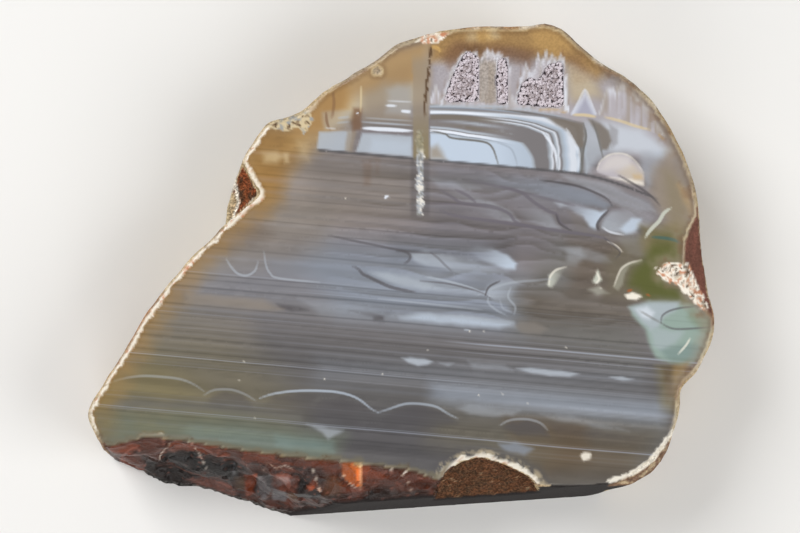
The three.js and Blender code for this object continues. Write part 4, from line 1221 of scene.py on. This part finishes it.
def paintSides(points, zones, colour):
    x, y, z = points.T
    grain = layeredLumps(x / 0.9, y / 0.9, z / 0.9)
    broad = layeredLumps(x / 6, y / 6, z / 6)
    side = smoothStep(0.04, 0.3, faceHeight - z) * ~(zones["inVug"] & (z > faceHeight - 0.1))
    tint = np.tile(np.array(palette["cream"], float), (len(points), 1))
    patchy = layeredLumps(x / 14, y / 14, z / 7 + 5.0)
    blend(tint, 0.6 * smoothStep(-0.2, 0.5, broad), "amber")
    blend(tint, 0.7 * smoothStep(0.0, 0.5, -broad), "brown")
    blend(tint, 0.55 * smoothStep(0.05, 0.45, patchy), "tanGrey")
    blend(tint, 0.55 * smoothStep(0.1, 0.5, -patchy), "sienna")
    blend(tint, 0.6 * smoothStep(0.15, 0.5, layeredLumps(x / 3, y / 3, z / 3 + 9.0)), "chalk")
    blend(tint, 0.4 * smoothStep(0.1, 0.7, grain), "chalk")
    blend(tint, 0.6 * smoothStep(0.2, 0.7, -grain), "umber")
    blend(tint, zones["matrix"].astype(float), "sienna")
    blend(tint, zones["matrix"] * 0.7 * smoothStep(-12, 8, -y - 20), "umber")
    blend(tint, zones["matrix"] * smoothStep(-0.1, 0.4, -grain) * 0.85, "umber")
    blend(tint, zones["matrix"] * smoothStep(0.3, 0.6, grain) * 0.6, "cream")
    blend(tint, zones["fracture"].astype(float), "cinder")
    streak = lumps(x / 9, (y - 0.09 * x) / 0.7, z / 0.7)
    blend(tint, zones["fracture"] * smoothStep(0.0, 0.6, streak) * 0.5, "black")
    blend(tint, zones["fracture"] * smoothStep(0.0, 0.6, -streak) * 0.5, "redBrown")
    blend(tint, zones["ground"].astype(float), "sawn")
    blend(tint, zones["worn"].astype(float), "facet")
    blend(tint, zones["worn"] * smoothStep(0.2, 0.7, lumps(x / 0.8, y / 5, z / 0.8)) * 0.5, "pink")
    blend(tint, (z < 0.3).astype(float), "ash")
    blend(tint, zones["inVug"].astype(float), "fringe")
    u, v = toSheet(points)
    chipped = np.flatnonzero(zones["fracture"])
    chips = tint[chipped]
    spare = np.ones(len(chipped))
    warp = 3.5 * smoothStep(1.0, 5.0, faceHeight - z[chipped])
    chipU = u[chipped] + warp * layeredLumps(x[chipped] / 3, y[chipped] / 3, z[chipped] / 3)
    chipV = v[chipped] + warp * layeredLumps(x[chipped] / 3, y[chipped] / 3, z[chipped] / 3 + 40.0)
    paintPatches(chipU, chipV, chips, spare, fracturePatches)
    shadeOf = facets(points[chipped], stoneSurface["facetSize"])[2]
    chips *= (0.7 + 0.55 * shadeOf)[:, None]
    paintStrokes(chipU, chipV, chips, spare, fractureStrokes)
    # painted highlights: small pink glints on the chipped faces
    paintedGlints = lumps(x[chipped] / 0.5, y[chipped] / 0.5, z[chipped] / 0.5)
    blend(chips, smoothStep(0.55, 0.8, paintedGlints) * 0.6, "pink")
    tint[chipped] = chips
    height = z + 1.3 * broad
    near = np.flatnonzero((height > sideFades["crusts"][0]) & ~zones["onFace"])
    crust = tint[near]
    paintCrusts(u[near], v[near], crust, np.ones(len(near)))
    tint[near] += (crust - tint[near]) * smoothStep(*sideFades["crusts"], height)[near, None]
    inBox = (u < lipBox["right"]) & (v > lipBox["top"]) & (v < lipBox["bottom"])
    near = np.flatnonzero((height > sideFades["lip"][0]) & inBox & ~zones["onFace"])
    lip = tint[near]
    paintPatches(u[near], v[near], lip, np.ones(len(near)), lipPatches)
    paintStrokes(u[near], v[near], lip, np.ones(len(near)), lipStrokes)
    tint[near] += (lip - tint[near]) * smoothStep(*sideFades["lip"], height)[near, None]
    colour += (tint - colour) * side[:, None]


def pickByZone(zones, table, onFace):
    values = np.where(zones["onFace"], onFace, table["skin"])
    for name in ("worn", "fracture", "matrix", "ground"):
        values = np.where(zones[name], table[name], values)
    return values


def buildStone(material):
    size = stoneSurface
    mesh = remeshed(cadNodes["agate_slice"], size["voxel"])
    points, normals = meshArrays(mesh)
    zones = surfaceZones(points, normals, size)
    points[points[:, 2] > faceHeight - 0.03, 2] = faceHeight
    points[points[:, 2] < 0.2, 2] = 0.0
    storePoints(mesh, points)
    smoothFracture(mesh, zones["fracture"] & (points[:, 2] < faceHeight - 0.5), size["fractureSmoothing"])
    tree = refineFace(mesh, size)
    points, normals = meshArrays(mesh)
    zones = surfaceZones(points, normals, size)
    rim = rimDistance(points, tree)
    u, v = toUnits(points)
    colour, amount, depth = paintFace(u, v, rim / drawingUnit)
    x, y, z = points.T
    def lumpsOf(name, layers):
        return layeredLumps(*(points / size[name]).T, layers)

    rough = (
        zones["skin"] * (size["skinKnobs"] * lumpsOf("skinKnobSize", 1)
                         + size["skinGrain"] * lumpsOf("skinGrainSize", 1))
        + zones["matrix"] * size["matrixGrain"] * (lumpsOf("matrixGrainSize", 2) - 0.2)
        + zones["fracture"] * size["fractureRipple"] * lumpsOf("fractureRippleSize", 2)
        + zones["fracture"] * smoothStep(0.2, 1.2, faceHeight - z) * size["facetDepth"]
        * facets(points, size["facetSize"])[0]
    )
    paintSides(points, zones, colour)
    moved = points + normals * rough[:, None]
    edge = zones["onFace"] & (rim <= size["faceInland"]) & ~zones["inVug"]
    wander = lumps(x / 1.1, y / 1.1, 2.0) * size["rimWander"] * edge
    moved[:, 0] += normals[:, 0] * wander
    moved[:, 1] += normals[:, 1] * wander
    moved[:, 2] = np.clip(moved[:, 2], 0.0, faceHeight)
    moved[z < 0.05, 2] = 0.0
    storePoints(mesh, moved)
    storeColour(mesh, "paint", colour)
    storeField(mesh, "depth", depth)
    storeField(mesh, "bandAmount", amount * zones["onFace"])
    amber = smoothStep(*size["amberPlace"]["across"], u) * smoothStep(*size["amberPlace"]["down"], v)
    sugar = within(u, sugarColumn["grainAcross"]) * within(v, sugarColumn["grainDown"])
    faceGrain = size["amberGrain"] * amber + size["sugarGrain"] * sugar
    storeField(mesh, "grain", pickByZone(zones, size["grain"], faceGrain))
    storeField(mesh, "bump", pickByZone(zones, size["bump"], 0.0))
    storeField(mesh, "chips", zones["fracture"] * 1.0)
    storeField(mesh, "roughness", pickByZone(zones, size["roughness"], size["polish"]))
    mesh.materials.clear()
    mesh.materials.append(material)
    mesh.shade_smooth()
    obj = bpy.data.objects.new("agateStone", mesh)
    bpy.context.scene.collection.objects.link(obj)
    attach(obj, "root")
    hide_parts("agate_slice")
    return obj


def plainMaterial(name, colour, roughness):
    material = bpy.data.materials.new(name)
    material.use_nodes = True
    shader = material.node_tree.nodes["Principled BSDF"]
    shader.inputs["Base Color"].default_value = (*colour, 1.0)
    shader.inputs["Roughness"].default_value = roughness
    return material


# Shader nodes are made and joined through this small helper
class Shading:
    def __init__(self, tree):
        self.tree = tree

    def node(self, kind, *inputs, **settings):
        made = self.tree.nodes.new(kind)
        for name, value in settings.items():
            setattr(made, name, value)
        for socket, value in zip(made.inputs, inputs):
            self.join(socket, value)
        return made

    def join(self, socket, value):
        if value is None:
            return
        if isinstance(value, bpy.types.NodeSocket):
            self.tree.links.new(value, socket)
        else:
            socket.default_value = value

    def math(self, operation, a, b=None, c=None):
        return self.node("ShaderNodeMath", a, b, c, operation=operation).outputs[0]

    def attribute(self, name, output="Fac"):
        return self.node("ShaderNodeAttribute", attribute_name=name).outputs[output]

    def ramp(self, value, low, high, toLow=0.0, toHigh=1.0, kind="SMOOTHSTEP"):
        made = self.node("ShaderNodeMapRange", value, low, high, toLow, toHigh, interpolation_type=kind)
        return made.outputs[0]

    # A one-dimensional curve through points between two places; its heights lie between -1 and 1
    def curve(self, value, low, high, places, heights):
        share = self.ramp(value, low, high, kind="LINEAR")
        made = self.node("ShaderNodeFloatCurve")
        curve = made.mapping.curves[0]
        ends = [(low, np.interp(low, places, heights)), (high, np.interp(high, places, heights))]
        inner = [(p, h) for p, h in zip(places, heights) if low < p < high]
        while len(curve.points) < len(inner) + 2:
            curve.points.new(0.5, 0.5)
        for point, (place, height) in zip(curve.points, [ends[0]] + inner + [ends[1]]):
            point.location = ((place - low) / (high - low), 0.5 + 0.5 * float(height))
            point.handle_type = "VECTOR"
        made.mapping.update()
        self.join(made.inputs["Value"], share)
        return self.math("MULTIPLY_ADD", made.outputs[0], 2.0, -1.0)


# The level bands in three runs of depth, and where their left, middle and right sides meet
bandRanges = [(-114, -10), (-10, 95), (95, 200)]
sidesMeet = [(250, 350), (430, 500)]

agateLook = {
    "grainScale": 2600.0,
    "grainDetail": 3.0,
    "lightShare": 0.62,
    "lightTint": (0.50, 0.55, 0.66),
    "chipScale": 420.0,
    "chipHeight": 3.0,
    "bumpHeight": 0.12,
    "specular": 0.2,
}


def agateMaterial():
    material = bpy.data.materials.new("agate")
    material.use_nodes = True
    tree = material.node_tree
    shader = tree.nodes["Principled BSDF"]
    s = Shading(tree)
    look = agateLook
    objectPlace = s.node("ShaderNodeTexCoord").outputs["Object"]
    place = s.node("ShaderNodeSeparateXYZ", objectPlace)
    unitsPerMetre = 1 / mm / drawingUnit
    middleU = drawingCentre[0] - drawingShift[0] / drawingUnit
    across = s.math("MULTIPLY_ADD", place.outputs[0], unitsPerMetre, middleU)
    depth = s.attribute("depth")
    toMiddle, toRight = (s.ramp(across, *ends) for ends in sidesMeet)
    gain = None
    for low, high in bandRanges:
        sides = [s.curve(depth, low, high, *bandCurve(side)) for side in range(3)]
        left = s.node("ShaderNodeMix", toMiddle, None, sides[0], sides[1]).outputs[0]
        both = s.node("ShaderNodeMix", toRight, None, left, sides[2]).outputs[0]
        inside = s.math("MULTIPLY", s.math("GREATER_THAN", depth, low), s.math("LESS_THAN", depth, high))
        both = s.math("MULTIPLY", both, inside)
        gain = both if gain is None else s.math("ADD", gain, both)
    gain = s.math("MULTIPLY", gain, s.attribute("bandAmount"))
    fine = s.node("ShaderNodeTexNoise")
    s.join(fine.inputs["Vector"], objectPlace)
    fine.inputs["Scale"].default_value = look["grainScale"]
    fine.inputs["Detail"].default_value = look["grainDetail"]
    noise = s.ramp(fine.outputs["Fac"], 0.3, 0.7, -1.0, 1.0)
    darker = s.math("ADD", s.math("MINIMUM", gain, 0.0), s.math("MULTIPLY", noise, s.attribute("grain")))
    paint = s.attribute("paint", "Color")
    tinted = s.node("ShaderNodeVectorMath", paint, operation="SCALE")
    s.join(tinted.inputs["Scale"], s.math("ADD", darker, 1.0))
    lighter = s.math("MULTIPLY", s.math("MAXIMUM", gain, 0.0), look["lightShare"])
    mixed = s.node("ShaderNodeMix", data_type="RGBA")
    s.join(mixed.inputs["Factor"], lighter)
    s.join(mixed.inputs["A"], tinted.outputs[0])
    mixed.inputs["B"].default_value = (*look["lightTint"], 1.0)
    s.join(shader.inputs["Base Color"], mixed.outputs["Result"])
    chips = s.node("ShaderNodeTexVoronoi")
    s.join(chips.inputs["Vector"], objectPlace)
    chips.inputs["Scale"].default_value = look["chipScale"]
    height = s.math("MULTIPLY", noise, s.attribute("bump"))
    chipHeight = s.math("MULTIPLY", s.attribute("chips"), look["chipHeight"])
    height = s.math("ADD", height, s.math("MULTIPLY", chips.outputs["Distance"], chipHeight))
    bump = s.node("ShaderNodeBump")
    bump.inputs["Distance"].default_value = look["bumpHeight"] * mm
    s.join(bump.inputs["Height"], height)
    s.join(shader.inputs["Normal"], bump.outputs[0])
    s.join(shader.inputs["Roughness"], s.attribute("roughness"))
    shader.inputs["Specular IOR Level"].default_value = look["specular"]
    return material


stone = buildStone(agateMaterial())
triangleCount = sum(len(p.vertices) - 2 for p in stone.data.polygons)
print("stone", len(stone.data.vertices), "vertices", triangleCount, "triangles")


# The druses of the vugs: a crust of fine quartz points each

druseLook = {
    "spacing": 0.24,
    "jitter": 0.3,
    "radius": 0.24,
    "shaft": (0.85, 1.2),
    "tip": 0.26,
    "width": (0.7, 1.25),
    "lean": 0.3,
    "edge": 0.45,
    "taper": 0.9,
    "crustTone": 0.8,
    "roughness": 0.35,
    "floor": 16.45,
    "seed": 4,
}


def meshObject(name, work, material):
    mesh = bpy.data.meshes.new(name)
    work.to_mesh(mesh)
    work.free()
    mesh.materials.append(material)
    obj = bpy.data.objects.new(name, mesh)
    bpy.context.scene.collection.objects.link(obj)
    return obj


# One six-sided point: a shaft and its tip, standing at a slight lean
def quartzPoint(work, foot, radius, shaft, lean, turn):
    size = druseLook
    slant = Matrix.Identity(4)
    slant[0][2], slant[1][2] = lean
    stand = Matrix.Translation(Vector(foot) * mm) @ slant @ Matrix.Rotation(turn, 4, "Z")
    top = radius * size["taper"]
    made = []
    parts = ((0.0, shaft, radius, top), (shaft, shaft + size["tip"], top, 0.0))
    for low, high, wide, narrow in parts:
        lift = Matrix.Translation((0, 0, (low + high) / 2 * mm))
        cone = bmesh.ops.create_cone(work, segments=6, radius1=wide * mm, radius2=narrow * mm,
                                     depth=(high - low) * mm, matrix=stand @ lift)
        made += cone["verts"]
    return made


def buildDruse(name, node, material):
    size = druseLook
    random = np.random.default_rng(size["seed"])
    low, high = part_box(node)
    step = size["edge"]

    def onCrust(x, y):
        return cadNodes[node].ray_cast((x * mm, y * mm, high[2] + 1 * mm), (0, 0, -1))[0]

    work = bmesh.new()
    work.from_mesh(cadNodes[node].data)
    bmesh.ops.remove_doubles(work, verts=work.verts, dist=1e-6)
    sugar = work.verts.layers.float.new("sugar")
    for vert in work.verts:
        vert[sugar] = size["crustTone"]
    columns = int((high[0] - low[0]) / mm / size["spacing"]) + 1
    rows = int((high[1] - low[1]) / mm / size["spacing"]) + 1
    for column in range(columns):
        for row in range(rows):
            jitter = random.uniform(-size["jitter"], size["jitter"], 2) * size["spacing"]
            x = low[0] / mm + (column + 0.5) * size["spacing"] + jitter[0]
            y = low[1] / mm + (row + 0.5 * (column % 2)) * size["spacing"] + jitter[1]
            shaft = random.uniform(*size["shaft"])
            lean = random.uniform(-size["lean"], size["lean"], 2)
            turn = random.uniform(0, math.pi)
            radius = size["radius"] * random.uniform(*size["width"])
            shade = random.uniform(0, 1)
            if not onCrust(x, y):
                continue
            if not all(onCrust(x + a * step, y + b * step) for a, b in ((1, 0), (-1, 0), (0, 1), (0, -1))):
                shade = 1.0 - 0.25 * shade
                shaft = size["shaft"][1]
            for vert in quartzPoint(work, (x, y, size["floor"]), radius, shaft, lean, turn):
                # painted shade: each point is darker towards its foot, in the gaps between the points
                rise = min(1.0, max(0.0, vert.co.z / mm - size["floor"]) / 0.7)
                vert[sugar] = (0.45 + 0.55 * rise) * (0.2 + 0.8 * shade)
    obj = meshObject(name, work, material)
    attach(obj, "root")
    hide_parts(node)
    return obj


def druseMaterial():
    material = bpy.data.materials.new("quartzDruse")
    material.use_nodes = True
    shader = material.node_tree.nodes["Principled BSDF"]
    s = Shading(material.node_tree)
    ramp = s.node("ShaderNodeValToRGB", s.attribute("sugar"))
    ramp.color_ramp.elements[0].color = (0.24, 0.18, 0.17, 1)
    ramp.color_ramp.elements[1].color = (0.74, 0.68, 0.72, 1)
    middle = ramp.color_ramp.elements.new(0.4)
    middle.color = (0.42, 0.36, 0.37, 1)
    s.join(shader.inputs["Base Color"], ramp.outputs[0])
    shader.inputs["Roughness"].default_value = druseLook["roughness"]
    return material


quartz = druseMaterial()
for side in ("left", "middle", "right"):
    druse = buildDruse("druseCrystals" + side.capitalize(), "druse_" + side, quartz)
    print("druse", side, len(druse.data.polygons), "faces")


# Floor, light and camera

def buildStudio():
    work = bmesh.new()
    bmesh.ops.create_grid(work, x_segments=1, y_segments=1, size=studio["floorReach"] * mm)
    floorMaterial = plainMaterial("floor", studio["floorColour"], studio["floorRoughness"])
    floor = meshObject("floor", work, floorMaterial)
    for lamp in studio["lamps"]:
        light = bpy.data.lights.new(lamp["name"], "AREA")
        light.size = lamp["size"] * mm
        light.energy = lamp["watts"]
        obj = bpy.data.objects.new(lamp["name"], light)
        obj.location = Vector(lamp["at"]) * mm
        obj.rotation_euler = (-obj.location).to_track_quat("-Z", "Y").to_euler()
        bpy.context.scene.collection.objects.link(obj)
    world = bpy.data.worlds.new("studio")
    world.use_nodes = True
    world.node_tree.nodes["Background"].inputs["Strength"].default_value = studio["skyStrength"]
    world.node_tree.nodes["Background"].inputs["Color"].default_value = (1.0, 1.0, 1.0, 1.0)
    bpy.context.scene.world = world


def buildCamera():
    data = bpy.data.cameras.new("camera")
    data.lens = studio["lens"]
    data.sensor_width = 36.0
    camera = bpy.data.objects.new("camera", data)
    x = studio["aim"][0] + drawingShift[0]
    y = studio["aim"][1] + drawingShift[1]
    camera.location = (x * mm, y * mm, (faceHeight + studio["distance"]) * mm)
    bpy.context.scene.collection.objects.link(camera)
    bpy.context.scene.camera = camera


buildStudio()
buildCamera()
bpy.context.scene.view_settings.view_transform = "Standard"
print("studio")
